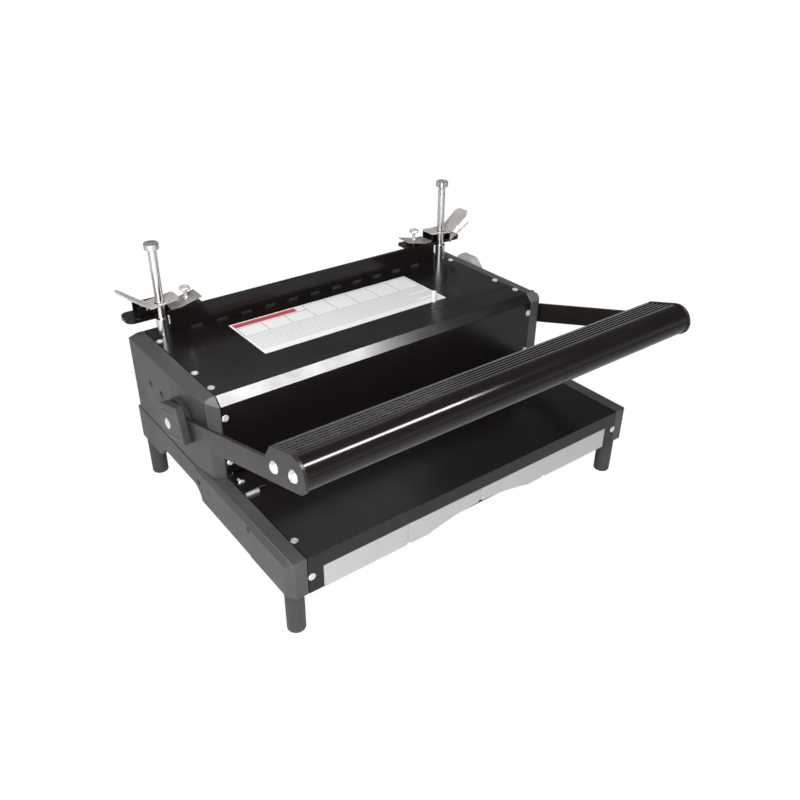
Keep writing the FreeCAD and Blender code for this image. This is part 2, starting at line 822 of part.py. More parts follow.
def make_upper_covers():
    """Moulded side covers of the body, hollow on the inside, with two plain holes."""
    outer = cover_out
    inner = base_in
    chamfer = s.body_chamfer
    floor = table_z + s.panel_gap
    points = [
        (body_y, floor),
        (back_y, floor),
        (back_y, top_z),
        (body_y + chamfer, top_z),
        (body_y, top_z - chamfer),
    ]
    shell = prism("upper_cover", "yz", points, inner, outer)
    side = outer.value - SAME_PLACE
    bevelled(shell, "upper_cover_ridge", s.cover_ridge_drop, s.cover_ridge,
             lambda p: p.x > side and p.z > top_z.value - SAME_PLACE)
    taper_y = body_y + s.cover_taper_back
    narrow = outer - s.cover_taper_side
    corner_left = cover_corner("left", taper_y, narrow, s.cover_corner_side,
                               s.cover_corner_back)
    corner_right = cover_corner("right", taper_y, outer - s.cover_square_taper,
                                s.cover_square_side, s.cover_square_back)
    wall = s.cover_wall
    deep = outer - wall
    near = prism("upper_cover_near_hollow", "yz", [
        (body_y + s.cover_corner_back + wall, floor + wall),
        (taper_y + over, floor + wall),
        (taper_y + over, top_z - s.cover_ridge_drop),
        (body_y + s.cover_corner_back + wall, top_z - s.cover_ridge_drop),
    ], inner - over, narrow - wall)
    hollow_points = [
        (taper_y, floor + wall),
        (back_y - wall, floor + wall),
        (back_y - wall, top_z - s.cover_ridge_drop),
        (taper_y, top_z - s.cover_ridge_drop),
    ]
    hollow = prism("upper_cover_hollow", "yz", hollow_points, inner - over, deep)
    shaft = rod("cover_shaft_hole", "x", s.shaft_radius + s.running_gap * 2, inner - over,
                outer + over, ZERO, pivot_y, pivot_z)
    holes = [rod("cover_hole_%d" % n, "x", s.cover_hole_radius, inner - over, outer + over,
                 ZERO, back_y - s.cover_hole_front_of_back - s.cover_hole_pitch * n,
                 pivot_z - s.cover_hole_drop) for n in range(2)]
    stub = rod("cover_stub_hole", "x", s.stub_radius + s.panel_gap, inner - over, outer + over,
               ZERO, knob_y, knob_z)
    plain = cut("upper_cover_plain", shell, near, hollow, shaft, *holes)
    keep("upper_cover_left", mirrored("upper_cover_left_mirror",
                                      cut("upper_cover_left_cut", plain, corner_left)))
    keep("upper_cover_right", cut("upper_cover_right_cut", plain, corner_right, stub))


def cover_corner(name, taper_y, front, side, back):
    """Tool that narrows a cover towards the front and takes off its upright corner."""
    return prism("cover_corner_" + name, "xy", [
        (cover_out, taper_y),
        (front, body_y + back),
        (front - side, body_y),
        (front - side, body_y - over),
        (cover_out + over, body_y - over),
        (cover_out + over, taper_y),
    ], table_z + s.panel_gap - over, top_z + over)


# Lever: its pieces are drawn level, pointing forwards from the pivot, then tilted


def tilted(thing):
    """Places a piece drawn about the pivot at the lever's rest angle."""
    thing.Placement = Placement(Vector(), Rotation(Vector(1, 0, 0), -s.lever_angle.value))
    bind(thing, Placement__Rotation__Angle=-s.lever_angle)
    return move(thing, ZERO, pivot_y, pivot_z)


def grip_outline(inset, ribs):
    """Section of the grip: flat ribbed top, round nose and toe, plain back."""
    start = s.grip_start + inset
    end = s.grip_end - inset
    top = s.grip_top - inset
    points = [(-start, top)]
    if ribs:
        groove = top - s.rib_height
        for number in range(5):
            first = start + s.rib_first + s.rib_pitch * number if number else start + s.rib_first
            last = first + s.rib_pitch - s.rib_width
            points += [(-first, top), (-first, groove), (-last, groove), (-last, top)]
    nose = len(points)
    points += [(-end, top), (-end, inset - s.arm_bottom_front)]
    points += [(-start, inset - s.arm_bottom_front)]
    return points, nose


def make_arms():
    """Flat lever arms, widened at the front into the end plates of the grip."""
    inner = arm_out - s.arm_plate
    points = [
        (s.arm_tail, s.arm_top_rear),
        (-(s.grip_start - s.grip_rise_length), s.arm_top_rear),
        (-(s.grip_start + s.rib_width), s.grip_top),
        (-s.grip_end, s.grip_top),
        (-s.grip_end, -s.arm_bottom_front),
        (s.arm_tail, -s.arm_bottom_rear),
    ]
    rounds = (((3,), s.grip_nose_radius), ((4,), s.grip_toe_radius),
              ((2,), s.grip_rise_length / 3), ((5,), s.arm_tail / 2))
    plate = prism("arm_blank", "yz", points, inner, arm_out, rounds)
    shaft = rod("arm_shaft_hole", "x", s.shaft_radius, inner - over, arm_out + over)
    holes = [rod("arm_screw_hole_%d" % n, "x", s.screw_shank_radius + s.small_hole_gap,
                 inner - over, arm_out + over, ZERO, -screw_u(n), s.grip_screw_line)
             for n in range(2)]
    arm = tilted(cut("arm", plate, shaft, *holes))
    keep_pair("arm", arm)


def screw_u(number):
    """Distance of a grip screw from the pivot."""
    if number:
        return s.grip_screw_first + s.grip_screw_pitch
    return s.grip_screw_first


def make_grip():
    """Hollow ribbed grip with two screw ports, and its four button-head screws."""
    half = arm_out - s.arm_plate
    points, nose = grip_outline(s.grip_inset, True)
    rounds = (((nose,), s.grip_nose_radius), ((nose + 1,), s.grip_toe_radius))
    outer = prism("grip_skin", "yz", points, -half, half, rounds)
    inner_points, corner = grip_outline(s.grip_wall + s.rib_height, False)
    inner_rounds = (((corner,), s.grip_nose_radius - s.grip_wall - s.rib_height),
                    ((corner + 1,), s.grip_toe_radius - s.grip_wall - s.rib_height))
    hollow = prism("grip_hollow", "yz", inner_points, -half - over, half + over, inner_rounds)
    ports = [rod("grip_port_%d" % n, "x", s.screw_head_radius, -half, half, ZERO,
                 -screw_u(n), s.grip_screw_line) for n in range(2)]
    bores = [rod("grip_bore_%d" % n, "x", s.screw_shank_radius, -half - over, half + over,
                 ZERO, -screw_u(n), s.grip_screw_line) for n in range(2)]
    web = s.grip_wall / 2
    floor = s.grip_wall / 2 - s.arm_bottom_front
    ceiling = s.grip_top - s.grip_wall
    webs = [box("grip_web_%d" % n, (-half, half), (-screw_u(n) - web, -screw_u(n) + web),
                (floor, ceiling)) for n in range(2)]
    shell = cut("grip_shell", outer, hollow)
    solid = fuse("grip_solid", shell, *ports, *webs)
    keep("handle_grip", tilted(cut("grip", solid, *bores)))
    screws = [screw("grip_screw_%d" % n, "x", 1, (arm_out, -screw_u(n), s.grip_screw_line),
                    s.screw_head_radius, s.screw_head_height, s.screw_shank_radius,
                    s.screw_length) for n in range(2)]
    right = group("grip_screws_right", *screws)
    keep("handle_screws", tilted(both_sides("grip_screws", right)))


def make_shaft():
    """Main shaft, the round hubs beside the arms, the pivot caps and their screws."""
    end = arm_out
    keep("main_shaft", rod("shaft", "x", s.shaft_radius, -end, end, ZERO, pivot_y, pivot_z))
    hub_in = cover_out + s.hub_gap
    hub_out = arm_out - s.arm_plate
    disc = rod("hub_disc", "x", s.hub_radius, hub_in, hub_out, ZERO, pivot_y, pivot_z)
    bore = rod("hub_bore", "x", s.shaft_radius, hub_in - over, hub_out + over, ZERO,
               pivot_y, pivot_z)
    keep("pivot_hubs", both_sides("hub_pair", cut("hub", disc, bore)))
    points = [
        (s.cap_rear, s.cap_top),
        (-s.cap_front, s.cap_top),
        (-s.cap_front, -s.cap_bottom),
        (s.cap_rear, -s.cap_bottom),
    ]
    face = end + s.cap_thickness
    cap = prism("cap_blank", "yz", points, end, face, (((0, 3), s.cap_tail_radius),))
    outer_face = face.value - SAME_PLACE
    rim = edges_on(cap.Tip.Shape, lambda p: p.x > outer_face)
    bind(dressed(cap, "PartDesign::Chamfer", "cap_bevel_cut", rim), Size=s.cap_bevel)
    hole = rod("cap_screw_hole", "x", s.screw_shank_radius, end - over, face + over)
    keep_pair("pivot_cap", tilted(cut("pivot_cap", cap, hole)))
    bolt = screw("cap_screw", "x", 1, (face, pivot_y, pivot_z), s.cap_screw_radius,
                 s.screw_head_height / 2, s.screw_shank_radius, s.cap_thickness)
    keep("cap_screws", both_sides("cap_screw_pair", bolt))


def cam_outline():
    """Flat-follower cam: the face it lowers falls at an even rate with the lever's angle."""
    points = []
    lift = s.cam_height.value
    rate = s.cam_rate.value
    for step in CAM_TURNS:
        angle = math.radians(step)
        height = lift - rate * angle
        facing = angle - math.pi / 2
        normal = Vector(0, math.cos(facing), math.sin(facing))
        along = Vector(0, -math.sin(facing), math.cos(facing))
        points.append(normal * height - along * rate)
    return points


def make_cams():
    """Two cams on the shaft that press the punch bar down."""
    points = cam_outline()
    back = s.cam_back_radius.value
    turn = math.radians(s.cam_back_angle.value)
    curve = Part.BSplineCurve()
    curve.interpolate(points)
    middle = Vector(0, back * math.sin(turn), back * math.cos(turn))
    last = Vector(0, back * math.cos(turn), -back * math.sin(turn))
    far = Vector(0, -back * math.cos(turn), back * math.sin(turn))
    edges = [
        curve.toShape(),
        Part.LineSegment(points[-1], last).toShape(),
        Part.Arc(last, middle, far).toShape(),
        Part.LineSegment(far, points[0]).toShape(),
    ]
    face = Part.Face(Part.Wire(edges))
    solid = face.extrude(Vector(s.cam_width.value, 0, 0))
    bore = Part.makeCylinder(s.shaft_radius.value, s.cam_width.value + over.value * 2,
                             Vector(-over.value, 0, 0), Vector(1, 0, 0))
    cam = doc.addObject("Part::Feature", "cam")
    cam.Shape = solid.cut(bore)
    move(cam, s.cam_outset, pivot_y, pivot_z)
    keep("cams", both_sides("cam_pair", cam))


# Strip press at the rear: posts, sliding bar and its friction clamps

bar_y = post_y + s.bar_face_offset
bar_low = top_z + s.bar_lift
bar_top = bar_low + s.bar_height
clamp_z = bar_top + s.clamp_sheet
pin_z = clamp_z + s.lock_pin_rise
bend_z = pin_z + s.lock_bend_rise
wall_y = post_y + s.bracket_offset
wall_end = wall_y + s.bracket_width
lock_x = post_x + s.lock_pin_outset
bracket_end = post_x + s.bracket_outer
thumb_x = post_x - s.thumb_inset


def hexagon(name, flats, low, high, x, y):
    """Upright hexagonal head with two of its corners facing left and right."""
    corner = flats / 2 / HEX_FLATS_SHARE
    points = [(x + corner * math.cos(math.radians(angle)),
               y + corner * math.sin(math.radians(angle))) for angle in HEX_CORNERS]
    return prism(name, "xy", points, low, high)


def make_posts():
    """Two headed posts, their spacer sleeves and the nuts under the top plate."""
    radius = s.post_radius
    foot = sheet_z - s.nut_height - s.sheet
    x = post_x
    shank = rod("post_shank", "z", radius, foot, post_high, x, post_y)
    head = hexagon("post_head", s.post_head_flats, post_high - s.post_head_height,
                   post_high, x, post_y)
    keep_pair("post", fuse("post_whole", shank, head))
    outer = rod("sleeve_outer", "z", s.sleeve_radius, top_z,
                bar_top - s.bar_plate - s.running_gap, x, post_y)
    bore = rod("sleeve_bore", "z", radius + s.post_fit, top_z - over, bar_top, x, post_y)
    keep("post_sleeves", both_sides("sleeve_pair", cut("sleeve", outer, bore)))
    nut = rod("nut_outer", "z", s.nut_radius, sheet_z - s.nut_height, sheet_z, x, post_y)
    thread = rod("nut_bore", "z", radius, sheet_z - s.nut_height - over, sheet_z + over,
                 x, post_y)
    keep("post_nuts", both_sides("nut_pair", cut("nut", nut, thread)))


def post_notch(name, low, high):
    """Open notch that lets a sliding sheet clear its post."""
    radius = s.post_radius + s.ear_notch_gap
    x = post_x
    hole = rod(name + "_hole", "z", radius, low - over, high + over, x, post_y)
    mouth = box(name + "_mouth", (x - radius, x + radius), (post_y - s.ear_depth, post_y),
                (low - over, high + over))
    return fuse(name + "_notch", hole, mouth)


def make_press_bar():
    """Slotted angle bar with an ear at each end that reaches round the post."""
    half = post_x - s.bar_end_gap
    face = box("bar_face", (-half, half), (bar_y, bar_y + s.bar_plate), (bar_low, bar_top))
    slots = []
    for number in PIN_NUMBERS:
        middle = s.pin_pitch * number if number else ZERO
        slots.append(box("bar_slot_%d" % (number + 5),
                         (middle - s.slot_length / 2, middle + s.slot_length / 2),
                         (bar_y - over, bar_y + s.bar_plate + over),
                         (bar_low - over, bar_low + s.slot_height)))
    far = bar_y + s.ear_depth
    inner = post_x - s.ear_inner
    outer = post_x + s.ear_outer
    points = [(inner, bar_y), (outer, bar_y), (outer, far), (inner, far)]
    ear = prism("ear_blank", "xy", points, bar_top - s.bar_plate, bar_top,
                (((1, 2), s.ear_round),))
    notch = post_notch("ear", bar_top - s.bar_plate, bar_top)
    ear_pair = both_sides("ear_pair", cut("ear", ear, notch))
    thumb = both_sides("ear_thumb_pair", rod(
        "ear_thumb_hole", "z", s.thumb_stem_radius + s.small_hole_gap,
        bar_top - s.bar_plate - over, bar_top + over, thumb_x, bar_y + s.thumb_back))
    solid = fuse("bar_solid", cut("bar_slotted", face, group("bar_slots", *slots)), ear_pair)
    keep("press_bar", cut("press_bar_cut", solid, thumb))


def make_clamps():
    """Clamp plate whose inner end rises off the ear, and the bracket beside it."""
    near = bar_y + s.clamp_inset
    far = near + s.clamp_width
    bend = post_x - s.clamp_bend
    run = s.clamp_rise_length * cosine(s.clamp_rise_angle)
    rise = s.clamp_rise_length * sine(s.clamp_rise_angle)
    outer = post_x - s.clamp_outset
    points = [
        (outer, bar_top),
        (outer, clamp_z),
        (bend, clamp_z),
        (bend - run, clamp_z + rise),
        (bend - run, bar_top + rise),
        (bend, bar_top),
    ]
    thumb = rod("clamp_thumb_hole", "z", s.thumb_stem_radius + s.small_hole_gap,
                bar_top - over, clamp_z + rise + over, thumb_x, bar_y + s.thumb_back)
    keep_pair("clamp_plate", cut("clamp_plate", prism("clamp_bent", "xz", points, near, far),
                                 thumb))
    sheet = s.sheet
    span = (post_x - s.bracket_inner, bracket_end)
    walls = []
    for name, y in (("near", (wall_y, wall_y + sheet)), ("far", (wall_end - sheet, wall_end))):
        walls.append(box("bracket_%s_wall" % name, span, y,
                         (bar_top, bar_top + s.bracket_height)))
    floor = box("bracket_floor", span, (wall_y, wall_end), (bar_top, bar_top + sheet))
    pin_hole = rod("bracket_pin_hole", "y", s.lock_pin_radius + s.lock_pin_fit, wall_y - over,
                   wall_end + over, lock_x, ZERO, pin_z)
    keep_pair("clamp_bracket", cut("bracket", fuse("bracket_solid", floor, *walls), pin_hole))


def make_lock_plates():
    """Tilting friction plates that grip the posts, each bent up into a finger tongue."""
    x = lock_x
    half = s.lock_sheet / 2
    pad_run = s.lock_length * cosine(s.lock_tilt)
    pad_rise = s.lock_length * sine(s.lock_tilt)
    tongue_run = s.tongue_length * cosine(s.tongue_angle)
    tongue_rise = s.tongue_length * sine(s.tongue_angle)
    lean = half * sine(s.tongue_angle)
    near = post_y - s.lock_front
    far = near + s.lock_width
    tip = x + tongue_run + lean
    start = x - pad_run
    points = [
        (start, bend_z + pad_rise - half),
        (x, bend_z - half),
        (tip, bend_z + tongue_rise - half),
        (x + tongue_run - lean, bend_z + tongue_rise + half),
        (x, bend_z + half),
        (start, bend_z + pad_rise + half),
    ]
    low = clamp_z
    high = bend_z + tongue_rise + pad_rise
    post_hole = rod("lock_post_hole", "z", s.post_radius + s.lock_hole_gap, low, high,
                    post_x, post_y)
    trims = [
        corner_trim("lock_near", s.lock_round, (start, 1), (near, 1), low, high),
        corner_trim("lock_far", s.lock_round, (start, 1), (far, -1), low, high),
        corner_trim("tongue_near", s.tongue_round, (tip, -1), (near, 1), low, high),
        corner_trim("tongue_far", s.tongue_round, (tip, -1), (far, -1), low, high),
    ]
    sheet = cut("lock_sheet_cut", prism("lock_bent", "xz", points, near, far), post_hole, *trims)
    inner = s.sheet + s.lock_lug_gap
    lug_half = s.lock_lug_length / 2
    lug = box("lock_lug", (x - lug_half, x + lug_half), (wall_y + inner, wall_end - inner),
              (pin_z - s.lock_pin_radius, bend_z))
    pin = rod("lock_pin", "y", s.lock_pin_radius, wall_y, wall_end, x, ZERO, pin_z)
    keep_pair("lock_plate", fuse("lock_whole", sheet, lug, pin))


def corner_trim(name, radius, side, edge, low, high):
    """Tool that rounds one upright corner; side and edge give its place and the way inwards."""
    x, x_in = side
    y, y_in = edge
    middle_x = x + radius * x_in
    middle_y = y + radius * y_in
    spans = []
    for place, middle, way in ((x, middle_x, x_in), (y, middle_y, y_in)):
        outside = place - over * way
        spans.append((outside, middle) if way > 0 else (middle, outside))
    block = box(name + "_block", spans[0], spans[1], (low, high))
    core = rod(name + "_core", "z", radius, low - over, high + over, middle_x, middle_y)
    return cut(name + "_trim", block, core)


def make_release_lever():
    """Small hook with a thin arm that rises on the near side of the right clamp."""
    start = post_x + s.release_outset
    hook = start + s.release_hook_width
    root = start + s.release_root_width
    run = s.release_length * cosine(s.release_angle)
    rise = s.release_length * sine(s.release_angle)
    depth = s.release_sheet / cosine(s.release_angle)
    slope = rise / run
    points = [
        (start, bar_top - s.release_hook_drop),
        (hook, bar_top - s.release_hook_drop),
        (hook, bar_top - depth),
        (hook + run, bar_top - depth + rise),
        (hook + run, bar_top + rise),
        (root, bar_top + (root - hook) * slope),
        (root, bar_top + s.release_root_rise),
        (hook, bar_top + s.release_root_rise),
        (hook, bar_top + s.release_hook_rise),
        (start, bar_top + s.release_hook_rise),
    ]
    keep("release_lever", prism("release_arm", "xz", points, bar_y - s.release_sheet, bar_y))


def make_thumb_screws():
    """Mushroom-headed thumb screws that hold the clamp plates on the ears."""
    x = thumb_x
    y = bar_y + s.thumb_back
    high = clamp_z + s.thumb_stem_height
    stem = rod("thumb_stem", "z", s.thumb_stem_radius, bar_top - s.bar_plate, high, x, y)
    collar_z = clamp_z + s.thumb_collar_rise
    collar = rod("thumb_collar", "z", s.thumb_collar_radius, collar_z,
                 collar_z + s.clamp_sheet, x, y)
    rim_z = high + s.thumb_dome / 4
    rim = rod("thumb_rim", "z", s.thumb_radius, high, rim_z, x, y)
    dome = cone("thumb_dome", s.thumb_radius, s.thumb_radius / 3, rim_z,
                high + s.thumb_dome, x, y)
    keep_pair("thumb_screw", fuse("thumb_screw", stem, collar, rim, dome))


def make_chip_tray():
    """Pull-out tray that catches the punched chips behind its grooved front."""
    half = frame_in - s.tray_side_gap
    low = base_z - s.tray_gap
    high = table_z - s.table_lip - s.tray_gap
    front = (front_y, front_y + s.tray_front_wall)
    panel = box("tray_panel", (-half, half), front, (low, high))
    arch = (s.tray_arch_half * s.tray_arch_half + s.tray_arch_rise * s.tray_arch_rise) \
        / (s.tray_arch_rise * 2)
    cutter = rod("tray_arch", "y", arch, front_y - over, front[1] + over, ZERO, ZERO,
                 low + s.tray_arch_rise - arch)
    grooves = []
    for name, middle in (("left", -s.tray_groove_pitch), ("middle", ZERO),
                         ("right", s.tray_groove_pitch)):
        edge = s.tray_groove / 2
        x = (middle - edge, middle + edge) if name != "middle" else (-edge, edge)
        grooves.append(box("tray_groove_%s" % name, x,
                           (front_y - over, front_y + s.tray_groove_depth),
                           (low - over, high + over)))
    face = cut("tray_face", panel, cutter, *grooves)
    floor_z = bottom_z + s.running_gap
    wall = s.tray_wall
    end = pivot_y + s.tray_behind
    well = box("tray_outside", (-half + wall, half - wall), (front[1], end),
               (floor_z + s.tray_arch_rise, high))
    inside = box("tray_inside", (-half + wall * 2, half - wall * 2),
                 (front[1] + wall, end - wall), (floor_z + s.tray_arch_rise + wall, high + over))
    keep("chip_tray", fuse("tray_whole", face, cut("tray_well", well, inside)))


def make_knob():
    """Eight-sided knob on the right that sets the depth stop, and its stub axle."""
    y = knob_y
    z = knob_z
    near = cover_out + s.hub_gap
    far = near + s.knob_length
    points = []
    for corner in range(8):
        turn = math.radians(45 * corner + 22.5)
        points.append((s.knob_radius * round(math.cos(turn), 6),
                       s.knob_radius * round(math.sin(turn), 6)))
    body = prism("knob_blank", "yz", points, near, far)
    face = far.value - SAME_PLACE
    rim = edges_on(body.Tip.Shape, lambda p: p.x > face)
    bind(dressed(body, "PartDesign::Chamfer", "knob_bevel_cut", rim), Size=s.knob_bevel)
    move(body, ZERO, y, z)
    bore = rod("knob_bore", "x", s.knob_bore, near - over, far - s.knob_bevel, ZERO, y, z)
    keep("depth_knob", cut("knob", body, bore))
    keep("knob_axle", rod("knob_stub", "x", s.stub_radius, frame_x,
                          far - s.knob_bevel - s.running_gap, ZERO, y, z))


def make_side_guide():
    """Sliding paper guide at the left of the throat, with its screw and bright tab."""
    left = -s.body_half_width - s.side_guide_overlap
    right = left + s.side_guide_width
    far = body_y - s.ramp_width - s.running_gap
    near = far - s.side_guide_depth
    low = table_z + s.running_gap / 2
    high = low + s.side_guide_height
    block = box("guide_slab", (left, right), (near, far), (low, high))
    x = left + s.side_screw_inset
    y = far - s.side_screw_back
    hole = rod("side_screw_hole", "z", s.small_shank_radius + s.small_hole_gap, low - over,
               high + over, x, y)
    keep("side_guide", cut("side_guide_cut", block, hole))
    bolt = screw("side_screw", "z", 1, (x, y, high), s.small_head_radius, s.small_head_height,
                 s.small_shank_radius, s.side_guide_height - s.running_gap / 2)
    keep("side_guide_screw", bolt)
    keep("side_guide_tab", box("side_tab", (left, left + s.side_tab_width),
                               (near - s.side_tab_depth, near),
                               (low, high - s.side_tab_gap * 2)))


def make_small_screws():
    """Small round-head screws of the body panels and of the table."""
    body = small_screws("body_screws", BODY_SCREWS)
    keep("body_screws", both_sides("body_screws_pair", body))
    tabs = both_sides("table_screws_pair", small_screws("table_screws", TABLE_SCREWS))
    deck = mirrored("deck_screws_left", small_screws("deck_screws", LEFT_TABLE_SCREWS))
    keep("table_screws", group("table_screws_all", tabs, deck))


def small_screws(name, screws):
    """One side's screws from a table of their places."""
    return group(name + "_side", *[
        screw("%s_%s" % (name, key), axis, facing, place, s.small_head_radius,
              s.small_head_height, s.small_shank_radius, s.small_shank_length)
        for key, (axis, facing, place) in screws.items()])


def check_and_export():
    """Stops on a failed object or a bad shape, then writes one file per piece."""
    doc.recompute()
    for thing in doc.Objects:
        if "Invalid" in thing.State or "Error" in thing.State:
            raise RuntimeError("failed object: %s %s" % (thing.Name, thing.State))
    os.makedirs("parts", exist_ok=True)
    for thing in nodes:
        shape = thing.Shape
        if shape.isNull() or not shape.isValid() or not shape.Solids:
            raise RuntimeError("bad shape: %s" % thing.Label)
        shape.exportStep("parts/%s.step" % thing.Label)
        print("%-20s solids %2d  volume %10.1f" % (thing.Label, len(shape.Solids),
                                                  shape.Volume))


make_feet()
make_base_covers()
make_table()
make_side_frames()
make_punch()
make_body()
make_upper_covers()
make_arms()
make_grip()
make_shaft()
make_cams()
make_posts()
make_press_bar()
make_clamps()
make_lock_plates()
make_release_lever()
make_thumb_screws()
make_chip_tray()
make_knob()
make_side_guide()
make_small_screws()
check_and_export()
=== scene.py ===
"""Looks of a desk punch with a strip press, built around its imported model.

Every piece is in metres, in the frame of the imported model: X to the right along the grip,
Y away from the user and Z up, with the origin on the floor under the middle of the machine.
"""

import json
import logging
import math
from collections.abc import Sequence
from dataclasses import dataclass
from enum import Enum

import bmesh
import bpy
import numpy as np
from mathutils import Matrix, Vector

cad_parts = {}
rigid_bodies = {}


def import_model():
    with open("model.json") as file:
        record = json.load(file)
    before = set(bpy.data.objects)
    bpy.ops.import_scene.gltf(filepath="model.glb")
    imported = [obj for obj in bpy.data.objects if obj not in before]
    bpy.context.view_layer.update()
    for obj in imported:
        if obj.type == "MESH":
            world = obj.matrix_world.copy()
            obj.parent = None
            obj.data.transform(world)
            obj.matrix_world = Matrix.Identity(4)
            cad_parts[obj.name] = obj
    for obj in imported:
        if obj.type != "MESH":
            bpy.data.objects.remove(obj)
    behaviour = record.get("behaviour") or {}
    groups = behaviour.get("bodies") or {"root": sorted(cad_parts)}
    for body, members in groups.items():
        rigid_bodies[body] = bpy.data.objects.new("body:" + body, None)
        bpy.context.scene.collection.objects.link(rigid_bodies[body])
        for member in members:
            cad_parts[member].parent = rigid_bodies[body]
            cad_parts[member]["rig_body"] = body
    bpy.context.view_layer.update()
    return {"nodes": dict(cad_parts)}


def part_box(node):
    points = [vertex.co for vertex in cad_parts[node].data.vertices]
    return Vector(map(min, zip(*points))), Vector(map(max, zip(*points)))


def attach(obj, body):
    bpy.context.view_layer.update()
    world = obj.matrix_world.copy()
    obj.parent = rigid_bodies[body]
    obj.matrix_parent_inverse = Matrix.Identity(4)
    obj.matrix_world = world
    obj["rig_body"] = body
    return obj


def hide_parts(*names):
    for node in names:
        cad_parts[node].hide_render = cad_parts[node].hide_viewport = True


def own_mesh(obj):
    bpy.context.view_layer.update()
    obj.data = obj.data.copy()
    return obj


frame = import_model()

log = logging.getLogger("desk_punch")

Node = bpy.types.Node
Socket = bpy.types.NodeSocket
Tree = bpy.types.NodeTree
Pair = tuple[float, float]
Triple = tuple[float, float, float]

MM = 0.001
TURN = 2 * math.pi
QUARTER = math.pi / 2

# Vertices closer together than this are one, and smaller areas and slopes count as none
MERGE = 2e-6
FLAT_AREA = 1e-12
LEAST_SLOPE = 1e-6

# Digits that a place keeps, in metres, when solids are sorted and when an outline is found
SORT_DIGITS = 4
OUTLINE_DIGITS = 6

# Angles between faces from which an edge is shaded sharp: as a rule, on caps and on posts
SMOOTH_ANGLE = math.radians(32)
CAP_ANGLE = math.radians(25)
POST_ANGLE = math.radians(20)

# Angle from which an edge is eased, and angle up to which faces are merged into one
EASE_ANGLE = math.radians(24)
COPLANAR = math.radians(0.4)
EASE_SEGMENTS = 2

# Parts of the noise's range over which clouds, flecks and smudges go from none to full
CLOUD_SPAN = (0.35, 0.65)
FLECK_SPAN = (0.3, 0.7)
SMUDGE_SPAN = (0.3, 0.7)
SMUDGES_PER_CLOUD = 1.4


class Facing(Enum):
    """Directions of a round piece's own width, depth and height in the machine's frame."""

    UP = ((1, 0, 0), (0, 1, 0), (0, 0, 1))
    FRONT = ((1, 0, 0), (0, 0, 1), (0, -1, 0))
    RIGHT = ((0, 1, 0), (0, 0, 1), (1, 0, 0))
    LEFT = ((0, -1, 0), (0, 0, 1), (-1, 0, 0))


class Grain(Enum):
    """Kinds of fine relief that a finish may have, with the detail of their noise."""

    SMOOTH = None
    PEEL = 0.0
    BRUSHED = 1.0
    MOULDED = 3.0


class Blend(Enum):
    """Kinds of mix, with the places of the first input, the second input and the output."""

    FLOAT = (2, 3, 0)
    RGBA = (6, 7, 2)


# Shader groups, each built once and shared by the materials


def new_group(name: str, inputs: dict[str, tuple[str, object]],
              outputs: dict[str, str]) -> tuple[Tree, Node, Node]:
    """Starts a shader group with named sockets.

    Args:
        name: Name of the group.
        inputs: Socket kind and default value for each input.
        outputs: Socket kind for each output.

    Returns:
        The node tree, its input node and its output node.
    """
    tree = bpy.data.node_groups.new(name, "ShaderNodeTree")
    for label, (kind, value) in inputs.items():
        socket = tree.interface.new_socket(label, in_out="INPUT", socket_type=kind)
        if value is not None:
            socket.default_value = value
    for label, kind in outputs.items():
        tree.interface.new_socket(label, in_out="OUTPUT", socket_type=kind)
    return tree, tree.nodes.new("NodeGroupInput"), tree.nodes.new("NodeGroupOutput")


def feed(tree: Tree, socket: Socket, value: Socket | float) -> None:
    """Sets an input socket to a number, or links another socket to it.

    Args:
        tree: Node tree of the socket.
        socket: Input socket.
        value: Number, or the socket to link.
    """
    if isinstance(value, (int, float)):
        socket.default_value = value
    else:
        tree.links.new(value, socket)


def noise(tree: Tree, vector: Socket, scale: Socket | float, detail: Socket | float = 2.0,
          rough: float = 0.5) -> Socket:
    """Adds a noise texture.

    Args:
        tree: Node tree of the texture.
        vector: Socket with the place.
        scale: Clouds per metre.
        detail: Number of finer layers.
        rough: Strength of the finer layers.

    Returns:
        The socket with the noise, from 0 to 1.
    """
    node = tree.nodes.new("ShaderNodeTexNoise")
    tree.links.new(vector, node.inputs["Vector"])
    feed(tree, node.inputs["Scale"], scale)
    feed(tree, node.inputs["Detail"], detail)
    feed(tree, node.inputs["Roughness"], rough)
    return node.outputs["Fac"]


def ranged(tree: Tree, value: Socket, span: Pair, low: Socket | float = 0.0,
           high: Socket | float = 1.0) -> Socket:
    """Adds a clamped map from a span of a value to a low and a high.

    Args:
        tree: Node tree of the map.
        value: Socket with the value.
        span: Values that become the low and the high.
        low: Result at the start of the span.
        high: Result at the end of the span.

    Returns:
        The socket with the result.
    """
    node = tree.nodes.new("ShaderNodeMapRange")
    tree.links.new(value, node.inputs["Value"])
    labels = ("From Min", "From Max", "To Min", "To Max")
    for label, number in zip(labels, (*span, low, high)):
        feed(tree, node.inputs[label], number)
    return node.outputs["Result"]


def mixed(tree: Tree, kind: Blend, share: Socket, first: Socket | float,
          second: Socket | float) -> Socket:
    """Adds a mix of two values or of two colours.

    Args:
        tree: Node tree of the mix.
        kind: Whether values or colours are mixed.
        share: Socket with the share of the second.
        first: Result where the share is 0.
        second: Result where the share is 1.

    Returns:
        The socket with the mix.
    """
    node = tree.nodes.new("ShaderNodeMix")
    node.data_type = kind.name
    before, after, out = kind.value
    tree.links.new(share, node.inputs[0])
    feed(tree, node.inputs[before], first)
    feed(tree, node.inputs[after], second)
    return node.outputs[out]


